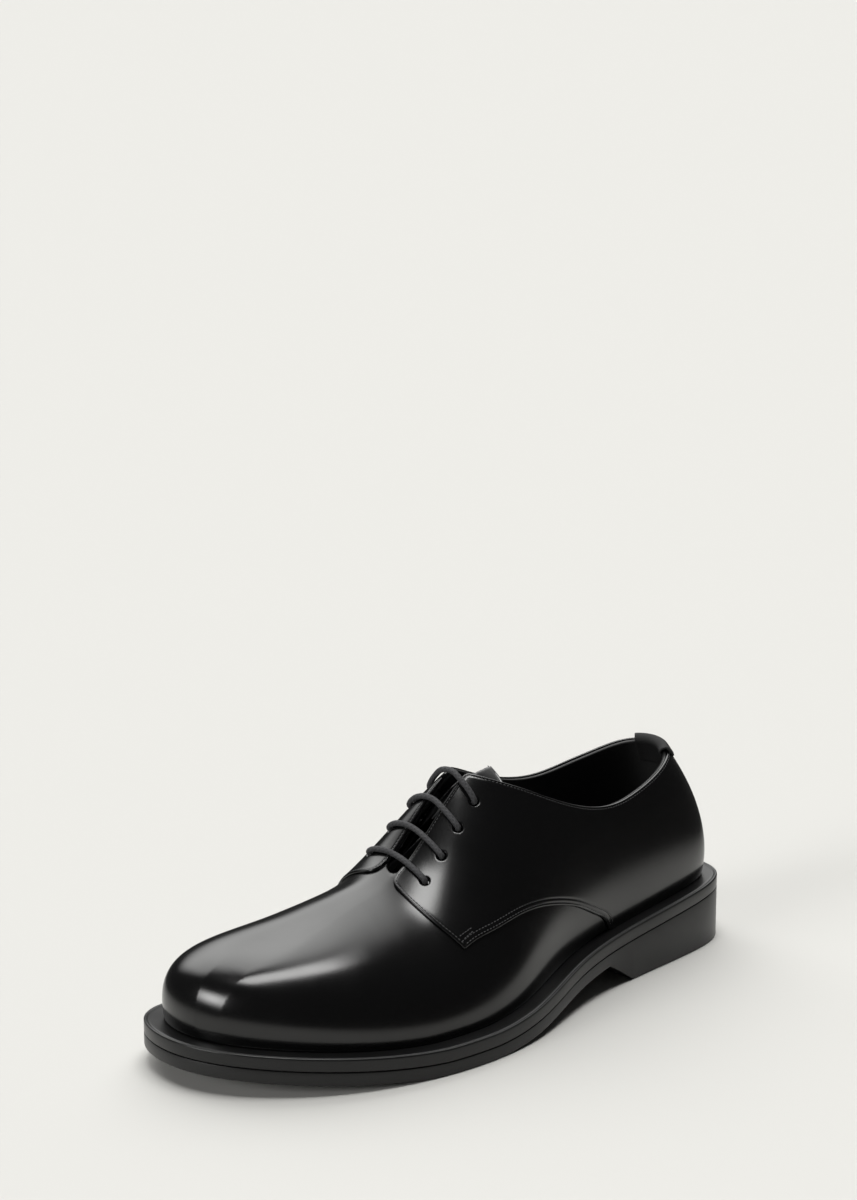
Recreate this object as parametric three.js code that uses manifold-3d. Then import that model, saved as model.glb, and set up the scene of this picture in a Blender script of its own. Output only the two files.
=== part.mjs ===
// Black derby shoe for the left foot, at its real size in millimetres.
// The toe points to -Y, the heel to +Y and the outer side of the foot to +X. The floor is z = 0.
// The origin is the middle of the shoe's box, on the floor.

import * as THREE from "three";
import { mergeVertices } from "three/addons/utils/BufferGeometryUtils.js";
import Module from "manifold-3d";

const wasm = await Module();
wasm.setup();

// Sole
const SHOE_LENGTH = 303; // sole, from the back of the heel to the tip of the toe
const SHOE_WIDTH = 114.6; // sole, at its widest
const SEAT_LIFT = 18.9; // how far the seat at the heel lies above the seat at the ball
const TOE_SPRING = 8.4; // how far the tip of the toe lifts
const OUTSOLE_THICKNESS = 5.8;
const MIDSOLE_THICKNESS = 5.6;
const EDGE_CHAMFER = 0.7; // broken edge of the midsole and of the tread
const HEEL_LENGTH = 78; // heel block, measured on the floor
const BREAST_RAKE = 18; // how far the top of the heel's breast leans forward

// Last and upper
const LEDGE = 8.6; // from the rim of the sole in to the foot of the upper
const CREST_HEIGHT = 90; // crest of the last over its seat, above the heel
const SIDE_BULGE = 6.5; // how far the heel swells out over the foot of the upper
const WALL = 1.7; // vamp leather with its lining
const QUARTER_STEP = 1.3; // second leather of the quarters, laid over the vamp
const COLLAR_HEIGHT = 63; // topline over the seat, at the back of the heel
const COLLAR_SLANT = 0.085; // how much lower the topline is on the outer side, per millimetre across

// Throat, facings and laces
const THROAT_HALF_GAP = 4.4; // from the crest to the front edge of a facing
const FACING_TOP = 0.505; // upper end of the facings, as a share of the shoe's length
const FACING_LENGTH = 43.7; // front edge of a facing, measured along the shoe
const FACING_REACH = 37.5; // from the facing's front edge out to its lower corner, measured across
const FACING_SWEEP = 7.4; // how far the lower edge of the facing runs back on its way out
const FACING_CORNER = 7; // radius of the facing's front corner
const EYELET_COUNT = 4;
const EYELET_RISE = 10.4; // lowest eyelet over the facing's lower edge, measured along the shoe
const EYELET_PITCH = 10.6; // measured along the shoe
const EYELET_MARGIN = 9.25; // from the facing's front edge to the upper eyelet
const EYELET_FLARE = 1.2; // how much farther out each lower eyelet lies
const EYELET_DIAMETER = 4.4;
const LACE_DIAMETER = 2.6;
const LOOSE_LIFT = 2; // how far the uppermost bar of lace arches off the facings
const TONGUE_THICKNESS = 1.8;
const TONGUE_HALF_WIDTH = 25;
const TONGUE_STAND = 21; // tongue beyond the upper end of the facings
const TONGUE_SAG = 5.5; // how far its free end sinks into the opening, along the crest
const TONGUE_LEVEL = 15; // how far out from the crest the free end keeps its depth
const TONGUE_FALL = 23; // how far the sides of the tongue reach down from the crest
const TONGUE_ROOT = 6; // tongue under the vamp, ahead of the facings' lower edge

// Inside and back
const INSOLE_THICKNESS = 2.8;
const TAB_WIDTH = 21;
const TAB_THICKNESS = 1.2;
const TAB_OUTSIDE = 4.5; // how far the tab hangs down outside
const TAB_INSIDE = 13; // how far it hangs down inside

// Clearance between pieces that touch
const GAP = 0.3;

// Fineness of the facets
const UPPER_SECTIONS = 40;
const RIB_STEPS = 11;
const SOLE_STATIONS = 38;

const SOLE_EDGE = OUTSOLE_THICKNESS + GAP + MIDSOLE_THICKNESS;
const HEEL_Y = SHOE_LENGTH / 2;

// Places along the shoe are shares of its length, 0 at the back of the heel and 1 at the tip of the toe.

// Side view of the seat. Heights are shares of SEAT_LIFT and of TOE_SPRING.
const SEAT_COLUMNS = ["along", "lift", "spring"];
const SEAT_ROWS = [
  [0.000, 1.000, 0.00],
  [0.118, 0.865, 0.00],
  [0.250, 0.695, 0.00],
  [0.390, 0.470, 0.00],
  [0.520, 0.125, 0.00],
  [0.610, 0.000, 0.00],
  [0.700, 0.000, 0.00],
  [0.800, 0.000, 0.27],
  [0.930, 0.000, 0.76],
  [1.000, 0.000, 1.00],
];

// Crest of the last. Height is a share of CREST_HEIGHT over the seat, axis a share of SHOE_WIDTH.
const CREST_COLUMNS = ["along", "height", "axis"];
const CREST_ROWS = [
  [0.10, 1.000, -0.036],
  [0.30, 1.010, -0.036],
  [0.42, 1.085, -0.036],
  [0.52, 0.963, -0.039],
  [0.62, 0.663, -0.046],
  [0.70, 0.566, -0.056],
  [0.78, 0.472, -0.070],
  [0.85, 0.396, -0.083],
  [0.92, 0.320, -0.090],
];

// Rim of the sole and the rib of the last that starts inside it, a row for each section.
// across is a share of SHOE_WIDTH, crest the place on the crest that the rib runs up to,
// rise and drop shares of CREST_HEIGHT, bulge a share of SIDE_BULGE, reach a share of the rib's run.
const RIM_COLUMNS = ["along", "across", "crest", "rise", "bulge", "reach", "drop"];
const OUTER_SIDE = [
  [0.000, 0.000, 0.165, 0.27, 1.00, 0.66, 0.13],
  [0.014, 0.179, 0.200, 0.27, 1.00, 0.72, 0.15],
  [0.118, 0.288, 0.245, 0.31, 0.92, 0.82, 0.15],
  [0.255, 0.327, 0.330, 0.33, 0.62, 0.78, 0.15],
  [0.395, 0.401, 0.420, 0.33, 0.46, 0.62, 0.17],
  [0.515, 0.502, 0.520, 0.31, 0.46, 0.50, 0.14],
  [0.655, 0.537, 0.630, 0.29, 0.46, 0.50, 0.09],
  [0.797, 0.462, 0.740, 0.28, 0.54, 0.60, 0.03],
  [0.929, 0.253, 0.820, 0.29, 0.62, 0.66, 0.00],
  [1.000, -0.079, 0.857, 0.30, 0.69, 0.70, 0.00],
];
const INNER_SIDE = [
  [0.966, -0.362, 0.810, 0.31, 0.77, 0.74, 0.00],
  [0.830, -0.460, 0.742, 0.29, 0.69, 0.64, 0.02],
  [0.672, -0.436, 0.610, 0.29, 0.54, 0.60, 0.06],
  [0.532, -0.362, 0.490, 0.33, 0.46, 0.60, 0.145],
  [0.390, -0.319, 0.420, 0.33, 0.46, 0.60, 0.18],
  [0.250, -0.319, 0.330, 0.34, 0.62, 0.80, 0.15],
  [0.118, -0.297, 0.240, 0.31, 0.92, 0.84, 0.15],
  [0.013, -0.188, 0.185, 0.27, 1.00, 0.74, 0.15],
];

// Topline, a share of COLLAR_HEIGHT over the seat at the same place.
const COLLAR_COLUMNS = ["along", "height"];
const COLLAR_ROWS = [
  [0.00, 1.020],
  [0.06, 1.012],
  [0.10, 0.995],
  [0.15, 0.950],
  [0.20, 0.916],
  [0.25, 0.903],
  [0.30, 0.942],
  [0.36, 1.055],
  [0.43, 1.245],
  [0.50, 1.440],
  [0.57, 1.570],
];

// Seam of the quarter in side view, from the facing's lower corner back to the sole.
// Height is a share of CREST_HEIGHT over the seat.
const SEAM_COLUMNS = ["along", "height"];
const SEAM_ROWS = [
  [0.640, 0.340],
  [0.600, 0.385],
  [0.560, 0.400],
  [0.510, 0.405],
  [0.465, 0.375],
  [0.410, 0.300],
  [0.360, 0.210],
  [0.320, 0.120],
  [0.292, 0.030],
  [0.280, -0.050],
];

// Cubic spline through values at rising places, with continuous curvature.
// A closed one has one more place than values, and joins its last value to its first.
function spline(places, values, closed = false) {
  const count = values.length;
  const step = places.slice(1).map((place, i) => place - places[i]);
  const rows = [];
  for (let i = 0; i < count; i++) {
    const row = new Array(count + 1).fill(0);
    const before = (i + count - 1) % count;
    const after = (i + 1) % count;
    if (!closed && (i === 0 || i === count - 1)) {
      row[i] = 1;
    } else {
      const h0 = step[before];
      const h1 = step[i];
      row[before] += h0;
      row[i] += 2 * (h0 + h1);
      row[after] += h1;
      row[count] = 6 * ((values[after] - values[i]) / h1 - (values[i] - values[before]) / h0);
    }
    rows.push(row);
  }
  const bend = solve(rows);
  const span = places[places.length - 1] - places[0];
  return (place) => {
    const at = closed ? places[0] + ((((place - places[0]) % span) + span) % span) : place;
    let i = 0;
    while (i < step.length - 1 && at >= places[i + 1]) i++;
    const next = (i + 1) % count;
    const a = (places[i + 1] - at) / step[i];
    const b = (at - places[i]) / step[i];
    const curve = ((a ** 3 - a) * bend[i] + (b ** 3 - b) * bend[next]) * step[i] ** 2 / 6;
    return a * values[i] + b * values[next] + curve;
  };
}

// Solves a small set of linear equations, each row ending in its right-hand side.
function solve(rows) {
  const count = rows.length;
  for (let i = 0; i < count; i++) {
    let pivot = i;
    for (let k = i + 1; k < count; k++) {
      if (Math.abs(rows[k][i]) > Math.abs(rows[pivot][i])) pivot = k;
    }
    [rows[i], rows[pivot]] = [rows[pivot], rows[i]];
    for (let k = 0; k < count; k++) {
      if (k === i) continue;
      const factor = rows[k][i] / rows[i][i];
      for (let c = i; c <= count; c++) rows[k][c] -= factor * rows[i][c];
    }
  }
  return rows.map((row, i) => row[count] / row[i]);
}

// One spline for each column of a table but the first, over its first column.
function tableCurves(columns, rows) {
  const places = rows.map((row) => row[0]);
  const curves = {};
  columns.forEach((name, c) => {
    if (c > 0) curves[name] = spline(places, rows.map((row) => row[c]));
  });
  return curves;
}

// Where a rising or falling function of u reaches a value between two places.
function findPlace(curve, value, from, to) {
  const HALVINGS = 40;
  let low = from;
  let high = to;
  const rising = curve(to) > curve(from);
  for (let i = 0; i < HALVINGS; i++) {
    const middle = (low + high) / 2;
    if ((curve(middle) < value) === rising) low = middle;
    else high = middle;
  }
  return (low + high) / 2;
}

// Place of the smallest value of curve near a guess.
function findLowest(curve, guess, reach) {
  const THIRDS = 60;
  let low = guess - reach;
  let high = guess + reach;
  for (let i = 0; i < THIRDS; i++) {
    const a = low + (high - low) / 3;
    const b = high - (high - low) / 3;
    if (curve(a) < curve(b)) high = b;
    else low = a;
  }
  return (low + high) / 2;
}

const flatRows = SEAT_ROWS.filter(([, lift, spring]) => lift === 0 && spring === 0);
const FLAT_BACK = flatRows[0][0];
const FLAT_FRONT = flatRows[flatRows.length - 1][0];

const seatCurves = tableCurves(SEAT_COLUMNS, SEAT_ROWS);
const crestCurves = tableCurves(CREST_COLUMNS, CREST_ROWS);
const collarCurves = tableCurves(COLLAR_COLUMNS, COLLAR_ROWS);

const shareAt = (y) => (HEEL_Y - y) / SHOE_LENGTH;
const yAt = (share) => HEEL_Y - share * SHOE_LENGTH;

// Underside of the tread in side view: flat at the ball, lifting to the toe and to the heel.
function treadHeight(y) {
  const share = shareAt(y);
  const lift = Math.max(0, seatCurves.lift(share)) * SEAT_LIFT;
  const spring = Math.max(0, seatCurves.spring(share)) * TOE_SPRING;
  return lift + spring;
}

const seatHeight = (y) => treadHeight(y) + SOLE_EDGE;

// Rim of the sole as closed splines over u, once round from the heel by the outer side.
const RIM_ROWS = [...OUTER_SIDE, ...INNER_SIDE];
const rimPlaces = [0];
RIM_ROWS.forEach((row, i) => {
  const next = RIM_ROWS[(i + 1) % RIM_ROWS.length];
  const run = Math.hypot((next[0] - row[0]) * SHOE_LENGTH, (next[1] - row[1]) * SHOE_WIDTH);
  rimPlaces.push(rimPlaces[i] + run);
});
const rimLength = rimPlaces[rimPlaces.length - 1];
const rimCurves = {};
RIM_COLUMNS.forEach((name, c) => {
  const places = rimPlaces.map((place) => place / rimLength);
  rimCurves[name] = spline(places, RIM_ROWS.map((row) => row[c]), true);
});
const TOE_U = rimPlaces[OUTER_SIDE.length - 1] / rimLength;
const SEARCH = 0.04; // how far round the rim an end of the outline is looked for
const heelEnd = findLowest(rimCurves.along, 0, SEARCH);
const toeEnd = findLowest((u) => -rimCurves.along(u), TOE_U, SEARCH);
const outerEnd = findLowest((u) => -rimCurves.across(u), TOE_U / 2, TOE_U / 4);
const innerEnd = findLowest(rimCurves.across, (1 + TOE_U) / 2, (1 - TOE_U) / 2);
const alongMin = rimCurves.along(heelEnd);
const alongSpan = rimCurves.along(toeEnd) - alongMin;
const acrossMiddle = (rimCurves.across(outerEnd) + rimCurves.across(innerEnd)) / 2;
const acrossSpan = rimCurves.across(outerEnd) - rimCurves.across(innerEnd);

// Point of the rim in plan, with the outline stretched to the named length and width.
function rimPoint(u) {
  const x = ((rimCurves.across(u) - acrossMiddle) / acrossSpan) * SHOE_WIDTH;
  const y = yAt((rimCurves.along(u) - alongMin) / alongSpan);
  return new THREE.Vector2(x, y);
}

// Unit vector out of the rim, in plan.
function rimOutward(u) {
  const STEP = 1e-4;
  const run = rimPoint(u + STEP).sub(rimPoint(u - STEP)).normalize();
  return new THREE.Vector2(-run.y, run.x);
}

// Crest of the last over a place along the shoe.
function crestPoint(share) {
  const y = yAt(share);
  const height = crestCurves.height(share) * CREST_HEIGHT;
  return new THREE.Vector3(crestCurves.axis(share) * SHOE_WIDTH, y, seatHeight(y) + height);
}

// Rib of the last: a cubic from the foot of the upper over the side up to the crest.
const ribStore = new Map();
function rib(u) {
  if (ribStore.has(u)) return ribStore.get(u);
  const rim = rimPoint(u);
  const outward = rimOutward(u);
  const plan = rim.clone().addScaledVector(outward, -LEDGE);
  const foot = new THREE.Vector3(plan.x, plan.y, seatHeight(plan.y) + GAP);
  const bulge = rimCurves.bulge(u) * SIDE_BULGE;
  const rise = rimCurves.rise(u) * CREST_HEIGHT;
  const side = new THREE.Vector3(outward.x * bulge, outward.y * bulge, rise).add(foot);
  const crest = crestPoint(rimCurves.crest(u));
  const reach = rimCurves.reach(u);
  const drop = rimCurves.drop(u) * CREST_HEIGHT;
  const shoulder = new THREE.Vector3(
    crest.x + (foot.x - crest.x) * reach,
    crest.y + (foot.y - crest.y) * reach,
    crest.z - drop,
  );
  const curve = new THREE.CubicBezierCurve3(foot, side, shoulder, crest);
  ribStore.set(u, curve);
  return curve;
}

// Unit vector out of the last at a place on a rib.
function lastNormal(u, v) {
  const STEP = 1e-3;
  const low = Math.max(0, v - STEP);
  const high = Math.min(1, v + STEP);
  const up = rib(u).getPoint(high).sub(rib(u).getPoint(low));
  const round = rib(u + STEP).getPoint(v).sub(rib(u - STEP).getPoint(v));
  return up.cross(round).normalize();
}

// Point of the last, moved out by an offset.
function lastPoint(u, v, offset) {
  return rib(u).getPoint(v).addScaledVector(lastNormal(u, v), offset);
}

// Sections of the upper: pairs of ribs, outer and inner, that meet at one place on the crest.
const backRib = findLowest(rimCurves.crest, 0, SEARCH);
const toeRib = findLowest((u) => -rimCurves.crest(u), TOE_U, SEARCH);
const sections = [];
for (let i = 0; i <= UPPER_SECTIONS; i++) {
  const outer = backRib + ((toeRib - backRib) * i) / UPPER_SECTIONS;
  const inner = findPlace(rimCurves.crest, rimCurves.crest(outer), toeRib, 1 + backRib);
  sections.push({ outer, inner });
}

// Closed mesh through columns of points. Each column runs from one side over the top to the other,
// and the first and the last have both their sides in one place.
function loft(columns) {
  const last = columns.length - 1;
  const size = columns[0].length;
  const fold = (size - 1) / 2;
  const points = [];
  const index = columns.map((column, k) => column.map((point, j) => {
    const folded = (k === 0 || k === last) && j > fold;
    if (folded) return null;
    points.push(point.x, point.y, point.z);
    return points.length / 3 - 1;
  }));
  for (const k of [0, last]) {
    for (let j = fold + 1; j < size; j++) index[k][j] = index[k][size - 1 - j];
  }
  const faces = [];
  const face = (a, b, c) => {
    if (a !== b && b !== c && c !== a) faces.push(a, b, c);
  };
  for (let k = 0; k < last; k++) {
    for (let j = 0; j < size; j++) {
      const over = (j + 1) % size;
      face(index[k][j], index[k + 1][j], index[k + 1][over]);
      face(index[k][j], index[k + 1][over], index[k][over]);
    }
  }
  return meshSolid(points, faces);
}

function meshSolid(points, faces) {
  const solid = new wasm.Manifold(new wasm.Mesh({
    numProp: 3,
    vertProperties: new Float32Array(points),
    triVerts: new Uint32Array(faces),
  }));
  return solid.volume() > 0 ? solid : meshSolid(points, faces.slice().reverse());
}

// Solid inside the last's surface moved out by an offset, which may change from place to place.
// sink carries its underside down, so that it cuts through whatever stands on the seat.
// sagAt gives how far a place is let down besides.
function lastSolid(offset, sink = 0, sagAt = () => 0) {
  const offsetAt = typeof offset === "number" ? () => offset : offset;
  const columns = sections.map(({ outer, inner }) => {
    const side = (u) => {
      const points = [];
      const foot = rib(u).getPoint(0);
      const outward = rimOutward(u).multiplyScalar(offsetAt(foot));
      foot.add(new THREE.Vector3(outward.x, outward.y, 0));
      foot.setZ(seatHeight(foot.y) + GAP);
      if (sink > 0) points.push(foot.clone().setZ(foot.z - sink));
      points.push(foot);
      for (let j = 1; j < RIB_STEPS; j++) {
        const v = j / RIB_STEPS;
        const place = rib(u).getPoint(v);
        const point = lastPoint(u, v, offsetAt(place));
        points.push(point.setZ(point.z - sagAt(place)));
      }
      return points;
    };
    const crest = rib(outer).getPoint(1);
    const normal = lastNormal(outer, 1).add(lastNormal(inner, 1)).normalize();
    const sag = sagAt(crest);
    crest.addScaledVector(normal, offsetAt(crest)).setZ(crest.z - sag);
    return [...side(outer), crest, ...side(inner).reverse()];
  });
  return loft(columns);
}

// Stations of the sole: the outer and the inner place on the rim at one place along the shoe.
const stations = [];
for (let i = 0; i <= SOLE_STATIONS; i++) {
  const share = (1 - Math.cos((Math.PI * i) / SOLE_STATIONS)) / 2;
  const along = alongMin + share * alongSpan;
  const outer = findPlace(rimCurves.along, along, heelEnd, toeEnd);
  const inner = findPlace(rimCurves.along, along, toeEnd, 1 + heelEnd);
  stations.push({ outer, inner });
}

// Plate with the outline of the sole. A row of its edge gives how far it lies in from the rim
// and its height at a place along the shoe, from the top down.
function soleSolid(edge) {
  const columns = stations.map(({ outer, inner }) => {
    const side = (u) => edge.map(({ inset, height }) => {
      const plan = rimPoint(u).addScaledVector(rimOutward(u), -inset);
      return new THREE.Vector3(plan.x, plan.y, height(plan.y));
    });
    const outerPoints = side(outer).reverse();
    const innerPoints = side(inner);
    const middle = outerPoints[outerPoints.length - 1].clone().lerp(innerPoints[0], 1 / 2);
    return [...outerPoints, middle, ...innerPoints];
  });
  return loft(columns);
}

// Prism of a side-view outline, of points with x for y and y for z, right through the shoe.
function sidePrism(outline, from = -SHOE_WIDTH, to = SHOE_WIDTH) {
  const shape = new THREE.Shape(outline);
  const geometry = new THREE.ExtrudeGeometry(shape, { depth: to - from, bevelEnabled: false });
  const turn = new THREE.Matrix4().makeBasis(
    new THREE.Vector3(0, 1, 0),
    new THREE.Vector3(0, 0, 1),
    new THREE.Vector3(1, 0, 0),
  );
  geometry.applyMatrix4(turn);
  geometry.translate(from, 0, 0);
  return geometrySolid(geometry);
}

// Prism of a plan outline, from below the floor to above the crest.
function planPrism(outline) {
  const height = 2 * (seatHeight(HEEL_Y) + CREST_HEIGHT);
  const shape = new THREE.Shape(outline);
  const geometry = new THREE.ExtrudeGeometry(shape, { depth: height, bevelEnabled: false });
  geometry.translate(0, 0, -height / 4);
  return geometrySolid(geometry);
}

function geometrySolid(geometry) {
  geometry.deleteAttribute("normal");
  geometry.deleteAttribute("uv");
  const merged = mergeVertices(geometry, 1e-4);
  return meshSolid(Array.from(merged.attributes.position.array), Array.from(merged.index.array));
}

// Space above the topline, moved up by a lift.
function aboveCollar(lift) {
  const COLLAR_STEPS = 40;
  const top = 2 * (seatHeight(HEEL_Y) + CREST_HEIGHT);
  const first = COLLAR_ROWS[0][0] - 1 / COLLAR_STEPS;
  const end = COLLAR_ROWS[COLLAR_ROWS.length - 1][0];
  const columns = [];
  for (let i = 0; i <= COLLAR_STEPS; i++) {
    const share = first + ((end - first) * i) / COLLAR_STEPS;
    const y = yAt(share);
    const corner = (x, z) => new THREE.Vector3(x, y, z);
    const bottom = (x) => corner(x, collarHeight(x, y) + lift);
    const x = SHOE_WIDTH / 2;
    columns.push([corner(-x, top), corner(x, top), bottom(x), bottom(-x)]);
  }
  return boxLoft(columns);
}

// Height of the topline over a place in plan. It is lower on the outer side.
function collarHeight(x, y) {
  const share = shareAt(y);
  const axis = crestCurves.axis(share) * SHOE_WIDTH;
  const middle = collarCurves.height(share) * COLLAR_HEIGHT + seatHeight(y);
  return middle - (x - axis) * COLLAR_SLANT * collarSlantShare(share);
}

// The topline is level at the back of the heel and at the facings, and slants in between.
function collarSlantShare(share) {
  const LOWEST = 0.24;
  const REACH = 0.19;
  return Math.max(0, 1 - ((share - LOWEST) / REACH) ** 2);
}

// Closed mesh through rings of four corners.
function boxLoft(rings) {
  const points = [];
  for (const ring of rings) for (const point of ring) points.push(point.x, point.y, point.z);
  const faces = [];
  const quad = (a, b, c, d) => faces.push(a, b, c, a, c, d);
  const size = 4;
  const end = (rings.length - 1) * size;
  for (let k = 0; k < end; k += size) {
    for (let j = 0; j < size; j++) {
      const over = (j + 1) % size;
      quad(k + j, k + over, k + size + over, k + size + j);
    }
  }
  quad(3, 2, 1, 0);
  quad(end, end + 1, end + 2, end + 3);
  return meshSolid(points, faces);
}

// Upper end and lower end of the facings.
const FACING_TOP_Y = yAt(FACING_TOP);
const FACING_LOW_Y = FACING_TOP_Y - FACING_LENGTH;
const axisAt = (y) => crestCurves.axis(shareAt(y)) * SHOE_WIDTH;

// Plan outline of one quarter: the facing's front edge, its round corner and its lower edge.
// side is 1 for the outer quarter and -1 for the inner one.
function quarterPlan(side) {
  const edge = axisAt(FACING_TOP_Y) + side * THROAT_HALF_GAP;
  const out = side * SHOE_WIDTH;
  const corner = edge + side * FACING_REACH;
  const slope = FACING_SWEEP / FACING_REACH;
  const shape = new THREE.Shape();
  shape.moveTo(axisAt(FACING_TOP_Y), HEEL_Y + LEDGE);
  shape.lineTo(axisAt(FACING_TOP_Y), FACING_TOP_Y);
  shape.lineTo(edge, FACING_TOP_Y);
  shape.lineTo(edge, FACING_LOW_Y + FACING_CORNER);
  const turn = new THREE.Vector2(edge + side * FACING_CORNER, FACING_LOW_Y);
  shape.quadraticCurveTo(edge, FACING_LOW_Y, turn.x, turn.y);
  shape.lineTo(corner, FACING_LOW_Y + FACING_SWEEP);
  shape.lineTo(out, FACING_LOW_Y + FACING_SWEEP + (Math.abs(out - corner)) * slope);
  shape.lineTo(out, HEEL_Y + LEDGE);
  const CURVE_STEPS = 6;
  return shape.getPoints(CURVE_STEPS);
}

// Side view of the quarters: everything above the seam, and all of the back.
function quarterSide() {
  const seam = tableCurves(SEAM_COLUMNS, SEAM_ROWS.slice().reverse());
  const SEAM_STEPS = 22;
  const low = SEAM_ROWS[SEAM_ROWS.length - 1][0];
  const high = SEAM_ROWS[0][0];
  const points = [];
  for (let i = 0; i <= SEAM_STEPS; i++) {
    const share = low + ((high - low) * i) / SEAM_STEPS;
    const y = yAt(share);
    points.push(new THREE.Vector2(y, seatHeight(y) + seam.height(share) * CREST_HEIGHT));
  }
  const top = 2 * (seatHeight(HEEL_Y) + CREST_HEIGHT);
  const front = yAt(1);
  const frontHeight = points[points.length - 1].y - FACING_LENGTH / 2;
  return [
    new THREE.Vector2(HEEL_Y + LEDGE, -SOLE_EDGE),
    new THREE.Vector2(HEEL_Y + LEDGE, top),
    new THREE.Vector2(front, top),
    new THREE.Vector2(front, frontHeight),
    ...points.reverse(),
    new THREE.Vector2(points[points.length - 1].x, -SOLE_EDGE),
  ];
}

// Place of a point of the last over a plan position, by Newton steps from the nearest grid point.
function lastOver(x, y, offset) {
  const side = x > axisAt(y) ? "outer" : "inner";
  let best = null;
  for (const section of sections) {
    for (let j = Math.ceil(RIB_STEPS / 2); j < RIB_STEPS; j++) {
      const v = j / RIB_STEPS;
      const point = lastPoint(section[side], v, offset);
      const distance = Math.hypot(point.x - x, point.y - y);
      if (best === null || distance < best.distance) best = { u: section[side], v, distance };
    }
  }
  const NEWTON_STEPS = 8;
  const STEP = 1e-4;
  let { u, v } = best;
  for (let i = 0; i < NEWTON_STEPS; i++) {
    const here = lastPoint(u, v, offset);
    const du = lastPoint(u + STEP, v, offset).sub(here).divideScalar(STEP);
    const dv = lastPoint(u, v + STEP, offset).sub(here).divideScalar(STEP);
    const det = du.x * dv.y - dv.x * du.y;
    const missX = x - here.x;
    const missY = y - here.y;
    u += (missX * dv.y - dv.x * missY) / det;
    v += (du.x * missY - missX * du.y) / det;
  }
  return { point: lastPoint(u, v, 0), normal: lastNormal(u, v) };
}

// Eyelets in rows from the lowest, each with its outer and inner place on the last.
const eyelets = [];
for (let i = 0; i < EYELET_COUNT; i++) {
  const y = FACING_LOW_Y + EYELET_RISE + i * EYELET_PITCH;
  const across = THROAT_HALF_GAP + EYELET_MARGIN + (EYELET_COUNT - 1 - i) * EYELET_FLARE;
  const outer = lastOver(axisAt(y) + across, y, QUARTER_STEP);
  const inner = lastOver(axisAt(y) - across, y, QUARTER_STEP);
  eyelets.push({ outer, inner });
}

// Round hole through the wall at an eyelet.
function eyeletHole({ point, normal }) {
  const HOLE_SIDES = 16;
  const DEPTH_SHARE = 6; // length of the cut in thicknesses of the wall
  const depth = DEPTH_SHARE * (WALL + QUARTER_STEP);
  const radius = EYELET_DIAMETER / 2;
  const geometry = new THREE.CylinderGeometry(radius, radius, depth, HOLE_SIDES);
  const up = new THREE.Vector3(0, 1, 0);
  geometry.applyQuaternion(new THREE.Quaternion().setFromUnitVectors(up, normal));
  geometry.translate(point.x, point.y, point.z);
  return geometrySolid(geometry);
}

// The upper: the vamp's wall with the quarters as a step in it, open at the collar, at the throat
// and underneath.
function makeUpper() {
  const quarters = quarterZone(1).add(quarterZone(-1));
  const outside = lastSolid(0).add(lastSolid(QUARTER_STEP).intersect(quarters));
  let upper = outside.subtract(lastSolid(-WALL, LEDGE));
  upper = upper.subtract(aboveCollar(0)).subtract(planPrism(throatPlan()));
  for (const row of eyelets) {
    upper = upper.subtract(eyeletHole(row.outer)).subtract(eyeletHole(row.inner));
  }
  return upper;
}

function quarterZone(side) {
  return planPrism(quarterPlan(side)).intersect(sidePrism(quarterSide()));
}

// Plan outline of the opening between the facings. The vamp closes it at its lower end.
function throatPlan() {
  const axis = axisAt(FACING_TOP_Y);
  const low = FACING_LOW_Y + FACING_CORNER + THROAT_HALF_GAP;
  const high = FACING_TOP_Y + FACING_LENGTH;
  const shape = new THREE.Shape();
  shape.moveTo(axis - THROAT_HALF_GAP, high);
  shape.lineTo(axis - THROAT_HALF_GAP, low);
  shape.absarc(axis, low, THROAT_HALF_GAP, Math.PI, 2 * Math.PI, false);
  shape.lineTo(axis + THROAT_HALF_GAP, high);
  const ARC_STEPS = 8;
  return shape.getPoints(ARC_STEPS);
}

// The tongue lies under the vamp at its root and far enough in for the laces above it.
const TONGUE_ROOT_Y = FACING_LOW_Y - TONGUE_ROOT;
const TONGUE_FREE_Y = FACING_LOW_Y + FACING_CORNER;
const TONGUE_DEPTH = WALL + GAP;
const LACE_ROOM = LACE_DIAMETER + 2 * GAP;

function tongueOffset({ y }) {
  const ramp = (y - TONGUE_ROOT_Y - GAP) / (TONGUE_FREE_Y - TONGUE_ROOT_Y);
  return -TONGUE_DEPTH - LACE_ROOM * THREE.MathUtils.smoothstep(ramp, 0, 1);
}

// Beyond the facings the tongue sinks and flattens, as its free end does in an empty shoe.
function tongueSag({ x, y }) {
  const free = THREE.MathUtils.smoothstep((y - FACING_TOP_Y) / TONGUE_STAND, 0, 1);
  const sag = free * TONGUE_SAG * (1 - ((x - axisAt(y)) / TONGUE_LEVEL) ** 2);
  return Math.max(-LACE_ROOM, sag);
}

function makeTongue() {
  const outside = lastSolid(tongueOffset, 0, tongueSag);
  const insideOffset = (place) => tongueOffset(place) - TONGUE_THICKNESS;
  const inside = lastSolid(insideOffset, LEDGE, tongueSag);
  const zone = planPrism(tonguePlan()).intersect(sidePrism(tongueSide()));
  return outside.subtract(inside).intersect(zone);
}

// Side view of the tongue: everything above a line that follows the crest.
function tongueSide() {
  const SIDE_STEPS = 12;
  const top = 2 * (seatHeight(HEEL_Y) + CREST_HEIGHT);
  const high = FACING_TOP_Y + TONGUE_STAND + TONGUE_ROOT;
  const low = TONGUE_ROOT_Y - TONGUE_ROOT;
  const points = [new THREE.Vector2(high, top), new THREE.Vector2(low, top)];
  for (let i = 0; i <= SIDE_STEPS; i++) {
    const y = low + ((high - low) * i) / SIDE_STEPS;
    points.push(new THREE.Vector2(y, crestPoint(shareAt(y)).z - TONGUE_FALL));
  }
  return points;
}

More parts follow.
